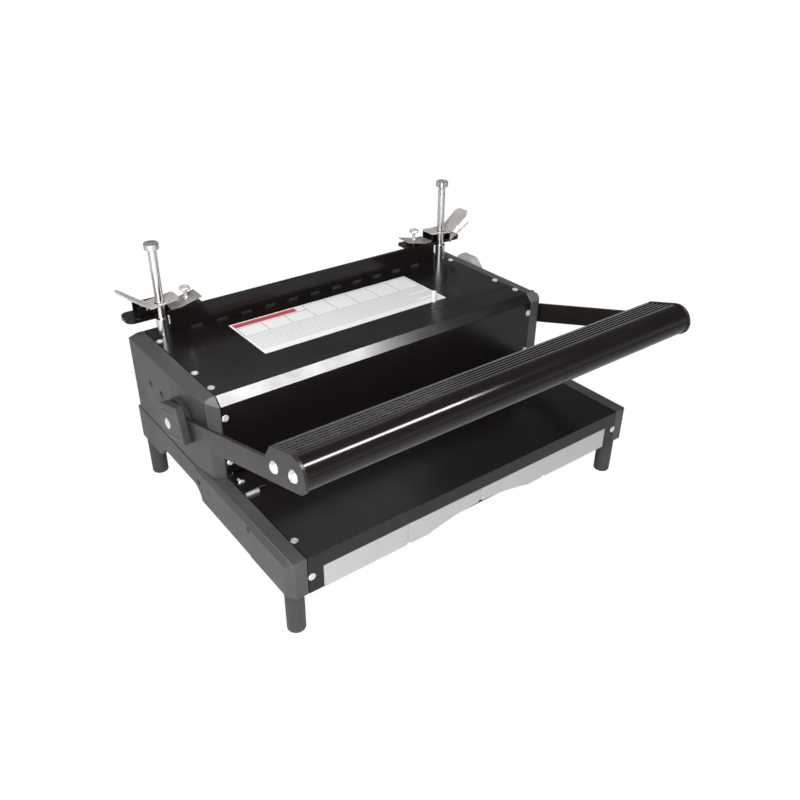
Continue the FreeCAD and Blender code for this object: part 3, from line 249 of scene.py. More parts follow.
def tone_group() -> Tree:
    """Builds the group that mixes two colours by soft clouds and fine flecks.

    Returns:
        The group's node tree.
    """
    tree, start, end = new_group(
        "tone",
        {
            "Vector": ("NodeSocketVector", None),
            "Color": ("NodeSocketColor", (0.5, 0.5, 0.5, 1)),
            "Second": ("NodeSocketColor", (0.5, 0.5, 0.5, 1)),
            "Scale": ("NodeSocketFloat", 20.0),
            "Fine Scale": ("NodeSocketFloat", 900.0),
            "Fine Share": ("NodeSocketFloat", 0.3),
        },
        {"Color": "NodeSocketColor"},
    )
    given = start.outputs
    cloud = noise(tree, given["Vector"], given["Scale"], detail=3.0)
    fleck = noise(tree, given["Vector"], given["Fine Scale"], detail=1.0)
    cloud = ranged(tree, cloud, CLOUD_SPAN)
    fleck = ranged(tree, fleck, FLECK_SPAN)
    share = mixed(tree, Blend.FLOAT, given["Fine Share"], cloud, fleck)
    tone = mixed(tree, Blend.RGBA, share, given["Color"], given["Second"])
    tree.links.new(tone, end.inputs["Color"])
    return tree


def smudge_group() -> Tree:
    """Builds the group that varies a roughness between two values, as handling does.

    Returns:
        The group's node tree.
    """
    tree, start, end = new_group(
        "smudge",
        {
            "Vector": ("NodeSocketVector", None),
            "Low": ("NodeSocketFloat", 0.2),
            "High": ("NodeSocketFloat", 0.3),
            "Scale": ("NodeSocketFloat", 14.0),
        },
        {"Roughness": "NodeSocketFloat"},
    )
    given = start.outputs
    cloud = noise(tree, given["Vector"], given["Scale"], detail=4.0, rough=0.6)
    value = ranged(tree, cloud, SMUDGE_SPAN, given["Low"], given["High"])
    tree.links.new(value, end.inputs["Roughness"])
    return tree


def grain_group() -> Tree:
    """Builds the group that gives the height of a fine relief, stretched if asked.

    Returns:
        The group's node tree.
    """
    tree, start, end = new_group(
        "grain",
        {
            "Vector": ("NodeSocketVector", None),
            "Stretch": ("NodeSocketVector", (1, 1, 1)),
            "Scale": ("NodeSocketFloat", 1500.0),
            "Detail": ("NodeSocketFloat", 2.0),
        },
        {"Height": "NodeSocketFloat"},
    )
    given = start.outputs
    stretch = tree.nodes.new("ShaderNodeVectorMath")
    stretch.operation = "MULTIPLY"
    tree.links.new(given["Vector"], stretch.inputs[0])
    tree.links.new(given["Stretch"], stretch.inputs[1])
    height = noise(tree, stretch.outputs[0], given["Scale"], given["Detail"])
    tree.links.new(height, end.inputs["Height"])
    return tree


@dataclass(frozen=True)
class Groups:
    """The shared shader groups."""

    tone: Tree
    smudge: Tree
    grain: Tree


GROUPS = Groups(tone_group(), smudge_group(), grain_group())


def add_group(tree: Tree, group: Tree, position: Socket, **values: object) -> Node:
    """Adds a shared group to a material with its own values.

    Args:
        tree: The material's node tree.
        group: The shared group.
        position: Socket with the object's coordinates.
        **values: Value for each of the group's inputs.

    Returns:
        The group's node.
    """
    node = tree.nodes.new("ShaderNodeGroup")
    node.node_tree = group
    tree.links.new(position, node.inputs["Vector"])
    for label, value in values.items():
        node.inputs[label.replace("_", " ")].default_value = value
    return node


@dataclass(frozen=True)
class Finish:
    """A surface finish, as the colours, sheen and relief that one material needs.

    The colour drifts between the first and the second in clouds and flecks, and the
    roughness drifts between its two values. Colours are linear, and sizes are in metres.
    """

    name: str
    color: Triple
    second: Triple
    rough: Pair
    metallic: float = 0.0
    ior: float = 1.5
    grain: Grain = Grain.SMOOTH
    grain_size: float = 0.6 * MM
    grain_depth: float = 0.02 * MM
    cloud_size: float = 60 * MM
    fleck_share: float = 0.3
    stretch: Triple = (1.0, 1.0, 1.0)

    def material(self) -> bpy.types.Material:
        """Returns this finish's material, made the first time it is asked for."""
        found = bpy.data.materials.get(self.name)
        return found if found else self.build()

    def build(self) -> bpy.types.Material:
        """Makes the material: varied colour, varied roughness and a fine relief.

        Returns:
            The material.
        """
        material = bpy.data.materials.new(self.name)
        material.use_nodes = True
        tree = material.node_tree
        shader = tree.nodes["Principled BSDF"]
        position = tree.nodes.new("ShaderNodeTexCoord").outputs["Object"]
        tone = add_group(tree, GROUPS.tone, position, Color=(*self.color, 1),
                         Second=(*self.second, 1), Scale=1 / self.cloud_size,
                         Fine_Scale=1 / self.grain_size, Fine_Share=self.fleck_share)
        tree.links.new(tone.outputs["Color"], shader.inputs["Base Color"])
        smudge = add_group(tree, GROUPS.smudge, position, Low=self.rough[0],
                           High=self.rough[1], Scale=SMUDGES_PER_CLOUD / self.cloud_size)
        tree.links.new(smudge.outputs["Roughness"], shader.inputs["Roughness"])
        shader.inputs["Metallic"].default_value = self.metallic
        shader.inputs["IOR"].default_value = self.ior
        if self.grain is not Grain.SMOOTH:
            grain = add_group(tree, GROUPS.grain, position, Stretch=self.stretch,
                              Scale=1 / self.grain_size, Detail=self.grain.value)
            bump = tree.nodes.new("ShaderNodeBump")
            bump.inputs["Distance"].default_value = self.grain_depth
            bump.inputs["Strength"].default_value = 1.0
            tree.links.new(grain.outputs["Height"], bump.inputs["Height"])
            tree.links.new(bump.outputs["Normal"], shader.inputs["Normal"])
        return material


COVER_PLASTIC = Finish("cover_plastic", (0.053, 0.056, 0.055), (0.066, 0.069, 0.068),
                       (0.46, 0.56), grain=Grain.MOULDED, grain_size=0.45 * MM,
                       grain_depth=0.05 * MM)
FOOT_RUBBER = Finish("foot_rubber", (0.034, 0.034, 0.035), (0.048, 0.048, 0.048), (0.5, 0.65),
                     grain=Grain.MOULDED, grain_size=0.8 * MM, grain_depth=0.03 * MM)
BLACK_COAT = Finish("black_coat", (0.0055, 0.0043, 0.0038), (0.008, 0.0063, 0.0056),
                    (0.18, 0.26), ior=1.38, grain=Grain.PEEL, grain_size=1.1 * MM,
                    grain_depth=0.002 * MM)
GRIP_ANODISED = Finish("grip_anodised", (0.007, 0.0052, 0.0047), (0.010, 0.0077, 0.007),
                       (0.11, 0.16), ior=1.36, grain=Grain.BRUSHED, grain_size=0.5 * MM,
                       grain_depth=0.0006 * MM, stretch=(0.02, 1, 1))
ARM_ENAMEL = Finish("arm_enamel", (0.013, 0.0105, 0.009), (0.018, 0.015, 0.013), (0.32, 0.4),
                    ior=1.42, grain=Grain.PEEL, grain_size=0.9 * MM, grain_depth=0.008 * MM)
DARK_PLASTIC = Finish("dark_plastic", (0.008, 0.008, 0.008), (0.014, 0.014, 0.014),
                      (0.6, 0.7), ior=1.25, grain=Grain.MOULDED, grain_depth=0.02 * MM)
CAP_PLASTIC = Finish("cap_plastic", (0.066, 0.067, 0.064), (0.08, 0.081, 0.078),
                     (0.45, 0.55), ior=1.42, grain=Grain.MOULDED, grain_size=0.4 * MM,
                     grain_depth=0.03 * MM)
BRIGHT_PLATE = Finish("bright_plate", (0.84, 0.84, 0.83), (0.74, 0.74, 0.73), (0.2, 0.32),
                      metallic=0.6)
POLISHED_STEEL = Finish("polished_steel", (0.8, 0.8, 0.79), (0.72, 0.72, 0.71), (0.1, 0.16),
                        metallic=1.0, fleck_share=0.1)
CLAMP_ZINC = Finish("clamp_zinc", (0.42, 0.40, 0.36), (0.34, 0.32, 0.29), (0.3, 0.4),
                    metallic=0.4, grain=Grain.BRUSHED, grain_size=0.3 * MM,
                    grain_depth=0.004 * MM, stretch=(0.05, 1, 1))
LOCK_ZINC = Finish("lock_zinc", (0.66, 0.61, 0.58), (0.52, 0.48, 0.455), (0.26, 0.36),
                   metallic=0.4, grain=Grain.BRUSHED, grain_size=0.3 * MM,
                   grain_depth=0.004 * MM, stretch=(0.05, 1, 1))
GROUND_STEEL = Finish("ground_steel", (0.55, 0.55, 0.54), (0.45, 0.45, 0.44), (0.25, 0.36),
                      metallic=1.0, grain=Grain.BRUSHED, grain_size=0.3 * MM,
                      grain_depth=0.004 * MM, stretch=(0.05, 1, 1))
BEARING_BRONZE = Finish("bearing_bronze", (0.6, 0.4, 0.2), (0.5, 0.32, 0.16), (0.3, 0.4),
                        metallic=1.0)
TRAY_PLASTIC = Finish("tray_plastic", (0.48, 0.48, 0.48), (0.51, 0.51, 0.51), (0.35, 0.42),
                      grain=Grain.MOULDED, grain_size=0.5 * MM, grain_depth=0.006 * MM)
KNOB_PLASTIC = Finish("knob_plastic", (0.07, 0.07, 0.072), (0.09, 0.09, 0.09),
                      (0.4, 0.5), grain=Grain.MOULDED, grain_depth=0.01 * MM)
WHITE_NYLON = Finish("white_nylon", (0.82, 0.82, 0.8), (0.86, 0.86, 0.84), (0.3, 0.4))
PRINT_WHITE = Finish("print_white", (0.88, 0.88, 0.88), (0.91, 0.91, 0.91), (0.3, 0.36),
                     cloud_size=30 * MM)
PRINT_GREY = Finish("print_grey", (0.46, 0.46, 0.45), (0.5, 0.5, 0.49), (0.3, 0.36))
PRINT_INK = Finish("print_ink", (0.1, 0.1, 0.1), (0.14, 0.14, 0.14), (0.32, 0.38))
PRINT_RED = Finish("print_red", (0.5, 0.05, 0.07), (0.56, 0.08, 0.09), (0.32, 0.38))


# Mesh helpers


def object_from(name: str, mesh: bpy.types.Mesh, finish: Finish) -> bpy.types.Object:
    """Links a mesh to the scene as an object at the origin with one finish.

    Args:
        name: Name of the object.
        mesh: Mesh with its place in its points.
        finish: Finish of the whole mesh.

    Returns:
        The object.
    """
    thing = bpy.data.objects.new(name, mesh)
    bpy.context.scene.collection.objects.link(thing)
    mesh.materials.clear()
    mesh.materials.append(finish.material())
    return thing


def shade(mesh: bpy.types.Mesh, angle: float = SMOOTH_ANGLE) -> None:
    """Shades a mesh smooth, with sharp edges where faces meet at more than an angle."""
    mesh.shade_smooth()
    mesh.set_sharp_from_angle(angle=angle)


def closed_mesh(name: str, rows: np.ndarray) -> bpy.types.Mesh:
    """Turns rings of points into a closed skin whose faces point outwards.

    Point s of ring r is joined with point s + 1 of its ring, the last with the first,
    and with the same two points of ring r + 1.

    Args:
        name: Name of the mesh.
        rows: Array of rings by points by 3. The first and last ring shrink to a point.

    Returns:
        The mesh, with its doubles merged.
    """
    count, around = rows.shape[:2]
    ring, spot = np.meshgrid(np.arange(count - 1), np.arange(around), indexing="ij")
    after = (spot + 1) % around
    quads = np.stack([ring * around + spot, ring * around + after,
                      (ring + 1) * around + after, (ring + 1) * around + spot], -1)
    mesh = bpy.data.meshes.new(name)
    mesh.from_pydata(rows.reshape(-1, 3), [], quads.reshape(-1, 4).tolist())
    work = bmesh.new()
    work.from_mesh(mesh)
    bmesh.ops.remove_doubles(work, verts=work.verts, dist=MERGE)
    bmesh.ops.recalc_face_normals(work, faces=work.faces)
    work.to_mesh(mesh)
    work.free()
    return mesh


def placed(points: np.ndarray, facing: Facing, place: Sequence[float]) -> np.ndarray:
    """Turns points from a piece's own width, depth and height to the machine's frame."""
    return points @ np.array(facing.value, float) + np.array(place, float)


def turned(profile: Sequence[Triple], around: int, corners: int = 0) -> np.ndarray:
    """Turns a profile about its height.

    Each row of the profile is (radius, height, share). A point at angle a lies at the
    radius, times 1 where the share is 0, and times cos(pi/n) / cos(a mod 2pi/n - pi/n)
    where it is 1, which makes a regular outline of n corners.

    Args:
        profile: Rows of radius, height and share, from the middle of one end to the other.
        around: Number of points round the piece.
        corners: Corners of the regular outline.

    Returns:
        Array of rings by points by 3.
    """
    rows = np.array(profile, float)
    angle = np.linspace(0, TURN, around, endpoint=False)
    factor = np.ones(around)
    if corners:
        half = math.pi / corners
        factor = math.cos(half) / np.cos(np.mod(angle, 2 * half) - half)
    reach = rows[:, :1] * (1 + rows[:, 2:3] * (factor - 1))
    return np.stack([reach * np.cos(angle), reach * np.sin(angle),
                     np.repeat(rows[:, 1:2], around, 1)], -1)


def arc(middle: Pair, radius: float, start: float, stop: float, steps: int) -> list[Triple]:
    """Gives the rows of a profile along an arc.

    Args:
        middle: Radius and height of the arc's own middle.
        radius: Radius of the arc.
        start: Angle of the first row in degrees, counted up from the outward side.
        stop: Angle of the last row in degrees.
        steps: Number of rows.

    Returns:
        Rows of radius, height and share, all of them round.
    """
    angle = np.radians(np.linspace(start, stop, steps))
    return [(middle[0] + radius * math.cos(a), middle[1] + radius * math.sin(a), 0)
            for a in angle]


def turned_piece(node: str, profile: Sequence[Triple], around: int, finish: Finish,
                 level: float = 0.0, angle: float = SMOOTH_ANGLE) -> None:
    """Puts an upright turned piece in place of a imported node, over the node's middle.

    Args:
        node: Name of the node that the piece stands for.
        profile: Rows of radius, height and share.
        around: Number of points round the piece.
        finish: Finish of the piece.
        level: Height at which the profile's own height is 0.
        angle: Angle between faces from which an edge is shaded sharp.
    """
    low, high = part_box(node)
    middle = (low + high) / 2
    rows = placed(turned(profile, around), Facing.UP, (middle.x, middle.y, level))
    mesh = closed_mesh(node + "_skin", rows)
    shade(mesh, angle)
    standing_for(object_from(node + "_skin", mesh, finish), node)


def eased(node: str, width: float, finish: Finish, least: float = 3.0,
          plain: bool = False) -> bpy.types.Object:
    """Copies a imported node, merged, with its long edges eased by a small bevel.

    Args:
        node: Name of the node, which the copy stands for.
        width: Width of the bevel, in metres.
        finish: Finish of the copy.
        least: Shortest edge that is eased, in bevel widths.
        plain: Cuts a flat chamfer in place of a round edge.

    Returns:
        The copy, riding on the node's body.
    """
    source = frame["nodes"][node]
    work = bmesh.new()
    work.from_mesh(source.data)
    bmesh.ops.remove_doubles(work, verts=work.verts, dist=MERGE)
    bmesh.ops.dissolve_limit(work, angle_limit=COPLANAR, verts=work.verts, edges=work.edges)
    weight = work.edges.layers.float.new("bevel_weight_edge")
    for edge in work.edges:
        long_enough = edge.calc_length() > least * width
        if long_enough and len(edge.link_faces) == 2 and edge.calc_face_angle() > EASE_ANGLE:
            edge[weight] = 1.0
    mesh = bpy.data.meshes.new(node + "_eased")
    work.to_mesh(mesh)
    work.free()
    spare = mesh.attributes.get("custom_normal")
    if spare:
        mesh.attributes.remove(spare)
    if plain:
        mesh.shade_flat()
    else:
        shade(mesh)
    thing = object_from(node + "_skin", mesh, finish)
    bevel = thing.modifiers.new("ease", "BEVEL")
    bevel.limit_method = "WEIGHT"
    bevel.width = width
    bevel.segments = 1 if plain else EASE_SEGMENTS
    bevel.use_clamp_overlap = False
    bevel.harden_normals = not plain
    bevel.miter_outer = "MITER_ARC"
    return standing_for(thing, node)


def standing_for(thing: bpy.types.Object, *nodes: str) -> bpy.types.Object:
    """Lets a piece ride on the body of the nodes that it replaces.

    Args:
        thing: The piece.
        *nodes: Names of the nodes, which share one body.

    Returns:
        The piece.
    """
    body = frame["nodes"][nodes[0]]["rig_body"]
    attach(thing, body)
    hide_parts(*nodes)
    log.info("piece %s stands for %s on %s", thing.name, ", ".join(nodes), body)
    return thing


def lying_on(thing: bpy.types.Object, node: str) -> None:
    """Lets a piece ride on the body of a node that another piece shows.

    Args:
        thing: The piece.
        node: Name of the node.
    """
    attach(thing, frame["nodes"][node]["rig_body"])
    log.info("piece %s lies on %s", thing.name, node)


def dressed(finish: Finish, *nodes: str) -> None:
    """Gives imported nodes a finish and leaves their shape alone.

    Args:
        finish: The finish.
        *nodes: Names of the nodes.
    """
    for node in nodes:
        slots = frame["nodes"][node].data.materials
        slots.clear()
        slots.append(finish.material())
        log.info("node %s dressed in %s", node, finish.name)


def solids_of(node: str) -> list[tuple[np.ndarray, np.ndarray]]:
    """Finds the separate solids of a node, by the edges that join its vertices.

    Args:
        node: Name of the node.

    Returns:
        Lowest and highest corner of each solid, from left to right.
    """
    work = bmesh.new()
    work.from_mesh(frame["nodes"][node].data)
    bmesh.ops.remove_doubles(work, verts=work.verts, dist=MERGE)
    waiting = set(work.verts)
    found = []
    while waiting:
        front = [waiting.pop()]
        spots = []
        while front:
            vertex = front.pop()
            spots.append(tuple(vertex.co))
            for edge in vertex.link_edges:
                other = edge.other_vert(vertex)
                if other in waiting:
                    waiting.remove(other)
                    front.append(other)
        found.append((np.min(spots, 0), np.max(spots, 0)))
    work.free()
    return sorted(found, key=lambda corners: tuple(np.round(corners[0], SORT_DIGITS)))


def join_rows(name: str, parts: list[np.ndarray], finish: Finish) -> bpy.types.Object:
    """Makes one object out of several closed skins.

    Args:
        name: Name of the object.
        parts: Rings of points of each skin.
        finish: Finish of the object.

    Returns:
        The object.
    """
    work = bmesh.new()
    for rows in parts:
        piece = closed_mesh(name + "_part", rows)
        work.from_mesh(piece)
        bpy.data.meshes.remove(piece)
    mesh = bpy.data.meshes.new(name)
    work.to_mesh(mesh)
    work.free()
    shade(mesh)
    return object_from(name, mesh, finish)


# Screws


@dataclass(frozen=True)
class ButtonScrew:
    """Round-headed screw with a six-sided socket, seated at the origin and facing up.

    The rim and the mouth's fall are shares of the head's height, the tip of the shank's
    radius, the crown and the mouth of the socket's radius, and the cone of its depth.
    """

    head_radius: float = 5.2 * MM
    head_height: float = 2.6 * MM
    shank_radius: float = 3.0 * MM
    length: float = 14.0 * MM
    socket_radius: float = 2.3 * MM
    socket_depth: float = 1.5 * MM
    tip_share: float = 0.2
    rim_share: float = 0.25
    crown_share: float = 1.3
    mouth_share: float = 1.12
    mouth_fall: float = 0.08
    cone_share: float = 1.25
    flats: int = 6
    dome_rings: int = 9
    around: int = 72

    def rows(self) -> np.ndarray:
        """Gives the shank, the domed head and the socket, turned about the height.

        At share t of the dome the height has risen by sin(t * pi / 2), and the radius
        has fallen by t on its way from the rim to the crown.

        Returns:
            Array of rings by points by 3.
        """
        shank = self.shank_radius
        rim = self.head_radius
        top = self.head_height
        mouth = self.socket_radius
        edge = self.rim_share * top
        dome = [(rim - (rim - self.crown_share * mouth) * t,
                 edge + (top - edge) * math.sin(t * QUARTER), 0)
                for t in np.linspace(0.0, 1.0, self.dome_rings)]
        profile = [
            (0, -self.length, 0),
            ((1 - self.tip_share) * shank, -self.length, 0),
            (shank, -self.length + self.tip_share * shank, 0),
            (shank, 0, 0),
            (rim, 0, 0),
            *dome,
            (self.mouth_share * mouth, top, 1),
            (mouth, top - self.mouth_fall * top, 1),
            (mouth, top - self.socket_depth, 1),
            (0, top - self.cone_share * self.socket_depth, 0),
        ]
        return turned(profile, self.around, self.flats)


# Screws at the ends of the grip, and in the pivot caps
GRIP_SCREW = ButtonScrew()
CAP_SCREW = ButtonScrew(head_height=1.3 * MM, length=7.6 * MM, socket_radius=2.0 * MM,
                        socket_depth=1.0 * MM)


@dataclass(frozen=True)
class CrossScrew:
    """Small pan-headed screw with a cross recess, seated at the origin and facing up."""

    head_radius: float = 3.4 * MM
    head_height: float = 1.6 * MM
    shank_radius: float = 1.5 * MM
    length: float = 6.0 * MM
    under_share: float = 0.96
    rim_share: float = 0.2
    fall_share: float = 0.62
    arm_width: float = 0.62 * MM
    arm_reach: float = 2.2 * MM
    arm_soft: float = 0.12 * MM
    depth: float = 1.5 * MM
    depth_loss: float = 0.45
    around: int = 64
    rings: int = 22
    ring_power: float = 0.9

    def rows(self, twist: float) -> np.ndarray:
        """Gives the shank, then a dome that sinks by a soft step inside a cross.

        The dome's height at radius r is h * (1 - f * (r / R) ** 3), with f for the share
        that it falls. The recess is the product of a step across each arm and a step
        along it, times a depth that falls off towards the arm's end.

        Args:
            twist: Turn of the cross about the screw's axis, in radians.

        Returns:
            Array of rings by points by 3.
        """
        angle = np.linspace(0, TURN, self.around, endpoint=False)
        reach = self.head_radius * np.linspace(1, 0, self.rings) ** self.ring_power
        radius, turn = np.meshgrid(reach, angle, indexing="ij")
        x = np.abs(radius * np.cos(turn - twist))
        y = np.abs(radius * np.sin(turn - twist))
        along = np.maximum(x, y)
        inside = (np.clip((self.arm_width - np.minimum(x, y)) / self.arm_soft, 0, 1)
                  * np.clip((self.arm_reach - along) / self.arm_soft, 0, 1))
        height = self.head_height * (1 - self.fall_share * (radius / self.head_radius) ** 3)
        height = height - self.depth * inside * (1 - self.depth_loss * along / self.arm_reach)
        dome = np.stack([radius * np.cos(turn), radius * np.sin(turn), height], -1)
        stem = turned([(0, -self.length, 0), (self.shank_radius, -self.length, 0),
                       (self.shank_radius, 0, 0), (self.head_radius * self.under_share, 0, 0),
                       (self.head_radius, self.rim_share * self.head_height, 0)], self.around)
        return np.concatenate([stem, dome])


# Sub-assemblies


@dataclass
class Base:
    """Base of the machine: feet, side covers, table, tray and paper guide.

    A foot's waist and the round of its rim are shares of its radius. Its flat sole ends
    at foot_sole times that round inside the radius.
    """

    cover_ease: float = 0.7 * MM
    sheet_ease: float = 0.35 * MM
    guide_ease: float = 0.5 * MM
    tab_ease: float = 0.25 * MM
    foot_waist: float = 0.985
    foot_rim: float = 0.19
    foot_sole: float = 1.3
    foot_steps: int = 7
    foot_around: int = 64

    def build(self) -> None:
        """Builds and dresses every piece of the base."""
        for node in ("base_cover_left", "base_cover_right"):
            eased(node, self.cover_ease, COVER_PLASTIC)
        for place in ("front_left", "front_right", "rear_left", "rear_right"):
            self.foot("foot_" + place)
        eased("table_plate", self.sheet_ease, BLACK_COAT)
        eased("chip_tray", self.sheet_ease, TRAY_PLASTIC)
        eased("side_guide", self.guide_ease, BLACK_COAT)
        eased("side_guide_tab", self.tab_ease, BRIGHT_PLATE)
        dressed(LOCK_ZINC, "paper_ramp")
        dressed(GROUND_STEEL, "die_plate", "side_frame_left",
                "side_frame_right", "tie_rods")
        dressed(BLACK_COAT, "bottom_plate")

    def foot(self, node: str) -> None:
        """Builds a round foot whose wall turns in at the floor.

        Args:
            node: Name of the foot's node.
        """
        low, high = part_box(node)
        radius = (high.x - low.x) / 2
        height = high.z - low.z
        rim = self.foot_rim * radius
        profile = [
            (0, 0, 0),
            (radius - self.foot_sole * rim, 0, 0),
            *arc((radius * self.foot_waist - rim, rim), rim, -90, 0, self.foot_steps),
            (radius, height - rim, 0),
            (radius, height, 0),
            (0, height, 0),
        ]
        turned_piece(node, profile, self.foot_around, FOOT_RUBBER, low.z)


@dataclass
class Body:
    """Body of the punch: covers, folded plates, label, peg and knob.

    The peg's stem and the round of its crown are shares of its radius.
    """

    cover_ease: float = 0.6 * MM
    sheet_ease: float = 0.3 * MM
    seam_ease: float = 0.7 * MM
    seam_least: float = 1.5
    knob_ease: float = 0.8 * MM
    peg_length: float = 12.2 * MM
    peg_stem: float = 0.5
    peg_crown: float = 0.35
    peg_steps: int = 7
    peg_around: int = 48

    def build(self) -> None:
        """Builds and dresses every piece of the body."""
        for node in ("upper_cover_left", "upper_cover_right"):
            eased(node, self.cover_ease, COVER_PLASTIC)
        eased("body_front_cover", self.sheet_ease, BLACK_COAT)
        eased("body_top_plate", self.seam_ease, BLACK_COAT, self.seam_least, plain=True)
        dressed(BLACK_COAT, "rear_panel")
        dressed(GROUND_STEEL, "punch_guide", "guide_rods", "punch_bar", "punch_pins",
                "depth_stop", "knob_axle", "main_shaft", "cams", "post_nuts")
        dressed(BEARING_BRONZE, "shaft_bushes")
        eased("depth_knob", self.knob_ease, KNOB_PLASTIC)
        self.peg("nylon_peg")
        Label().build()
        Springs().build()

    def peg(self, node: str) -> None:
        """Builds the white peg, a stem under a wider head with a rounded top.

        Args:
            node: Name of the peg's node.
        """
        low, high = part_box(node)
        radius = (high.x - low.x) / 2
        stem = self.peg_stem * radius
        crown = self.peg_crown * radius
        profile = [
            (0, low.z - high.z, 0),
            (stem, low.z - high.z, 0),
            (stem, -self.peg_length, 0),
            (radius, -self.peg_length, 0),
            *arc((radius - crown, -crown), crown, 0, 90, self.peg_steps),
            (0, 0, 0),
        ]
        turned_piece(node, profile, self.peg_around, WHITE_NYLON, high.z)


@dataclass
class Springs:
    """Two coil springs that lift the punch bar."""

    wire: float = 0.6 * MM
    coils: int = 6
    flat_coils: float = 0.8
    steps: int = 28
    around: int = 8

    def build(self) -> None:
        """Winds both springs into one piece that stands for the imported node, with a mesh of
        its own.
        """
        parts = [self.rows(low, high) for low, high in solids_of("return_springs")]
        work = join_rows("return_springs_skin", parts, GROUND_STEEL)
        standing_for(work, "return_springs")
        low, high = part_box("return_springs")
        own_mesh(work)

    def rows(self, low: np.ndarray, high: np.ndarray) -> np.ndarray:
        """Gives the rings of wire along one helix, closed to a point at each end.

        At turn t the wire's middle lies at angle t on the coil's radius. Its height
        rises evenly with t between the ends, where it stays level.

        Args:
            low: Lowest corner of the spring.
            high: Highest corner of the spring.

        Returns:
            Array of rings by points by 3.
        """
        middle = (low + high) / 2
        radius = (high[0] - low[0]) / 2 - self.wire
        turn = np.linspace(0, TURN * self.coils, self.coils * self.steps)
        rising = self.coils - 2 * self.flat_coils
        share = np.clip((turn / TURN - self.flat_coils) / rising, 0, 1)
        height = low[2] + self.wire + (high[2] - low[2] - 2 * self.wire) * share
        angle = np.linspace(0, TURN, self.around, endpoint=False)
        thick = np.full(len(turn), self.wire)
        thick[[0, -1]] = 0
        reach = radius + thick[:, None] * np.cos(angle)
        return np.stack([middle[0] + reach * np.cos(turn)[:, None],
                         middle[1] + reach * np.sin(turn)[:, None],
                         height[:, None] + thick[:, None] * np.sin(angle)], -1)


@dataclass
class Label:
    """Generic label: a pale plate with a plain red strip, empty fields and ruled rows."""

    margin: float = 2.2 * MM
    strip_length: float = 72.0 * MM
    strip_height: float = 8.0 * MM
    field_height: float = 20.0 * MM
    fields: int = 8
    line: float = 0.5 * MM
    rule: float = 1.1 * MM
    rule_rows: int = 9
    rule_pitch: float = 3.7 * MM
    short_every: int = 4
    short_share: float = 0.12
    lift: float = 0.03 * MM

    def build(self) -> None:
        """Lays the printed fields on the label plate."""
        dressed(PRINT_WHITE, "label_plate")
        low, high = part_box("label_plate")
        left, right = low.x + self.margin, high.x - self.margin
        top = high.y - self.margin
        under = top - self.strip_height
        self.lay("label_strip", PRINT_RED, high.z,
                 np.array([[left, left + self.strip_length, under, top]]))
        self.lay("label_fields", PRINT_INK, high.z, self.field_lines(left, right, top))
        self.lay("label_rules", PRINT_GREY, high.z,
                 self.ruled_rows(left, right, under - self.field_height - self.margin * 2))

    def field_lines(self, left: float, right: float, top: float) -> np.ndarray:
        """Gives thin frames of equal empty fields, taller where they clear the strip.

        Args:
            left: Left edge of the print.
            right: Right edge of the print.
            top: Far edge of the print.

        Returns:
            Rows of left, right, near and far edges.
        """
        under = top - self.strip_height - self.margin
        bottom = under - self.field_height
        posts = np.linspace(left, right - self.line, self.fields + 1)
        free = left + self.strip_length + self.margin
        upright = np.stack([posts, posts + self.line, np.full_like(posts, bottom),
                            np.where(posts > free, top, under)], -1)
        step = posts[posts > free][0]
        level = np.array([[left, step, under - self.line, under],
                          [step, right, top - self.line, top],
                          [left, right, bottom, bottom + self.line]])
        return np.concatenate([upright, level])

    def ruled_rows(self, left: float, right: float, top: float) -> np.ndarray:
        """Gives ruled rows, each a little shorter than the one above every few rows.

        Args:
            left: Left edge of the print.
            right: Right edge of the print.
            top: Far edge of the first row.

        Returns:
            Rows of left, right, near and far edges.
        """
        row = np.arange(self.rule_rows)
        height = top - row * self.rule_pitch
        short = row % self.short_every == self.short_every - 1
        end = right - (right - left) * self.short_share * short
        return np.stack([np.full_like(height, left), end, height - self.rule, height], -1)

    def lay(self, name: str, finish: Finish, level: float, areas: np.ndarray) -> None:
        """Lays thin flat blocks on the label.

        Args:
            name: Name of the piece.
            finish: Colour of the print.
            level: Height of the label's face.
            areas: Rows of left, right, near and far edges.
        """
        left, right, near, far = areas.T
        corners = np.stack([left, near, right, near, right, far, left, far], -1)
        corners = corners.reshape(-1, 4, 2)
        height = np.ones_like(corners[..., :1])
        under = np.concatenate([corners, height * (level - self.lift)], -1)
        over = np.concatenate([corners, height * (level + self.lift)], -1)
        points = np.concatenate([under, over], 1)
        block = np.array([[0, 3, 2, 1], [4, 5, 6, 7], [0, 1, 5, 4], [1, 2, 6, 5],
                          [2, 3, 7, 6], [3, 0, 4, 7]])
        first = points.shape[1] * np.arange(len(points))[:, None, None]
        mesh = bpy.data.meshes.new(name)
        mesh.from_pydata(points.reshape(-1, 3), [], (block + first).reshape(-1, 4).tolist())
        lying_on(object_from(name, mesh, finish), "label_plate")


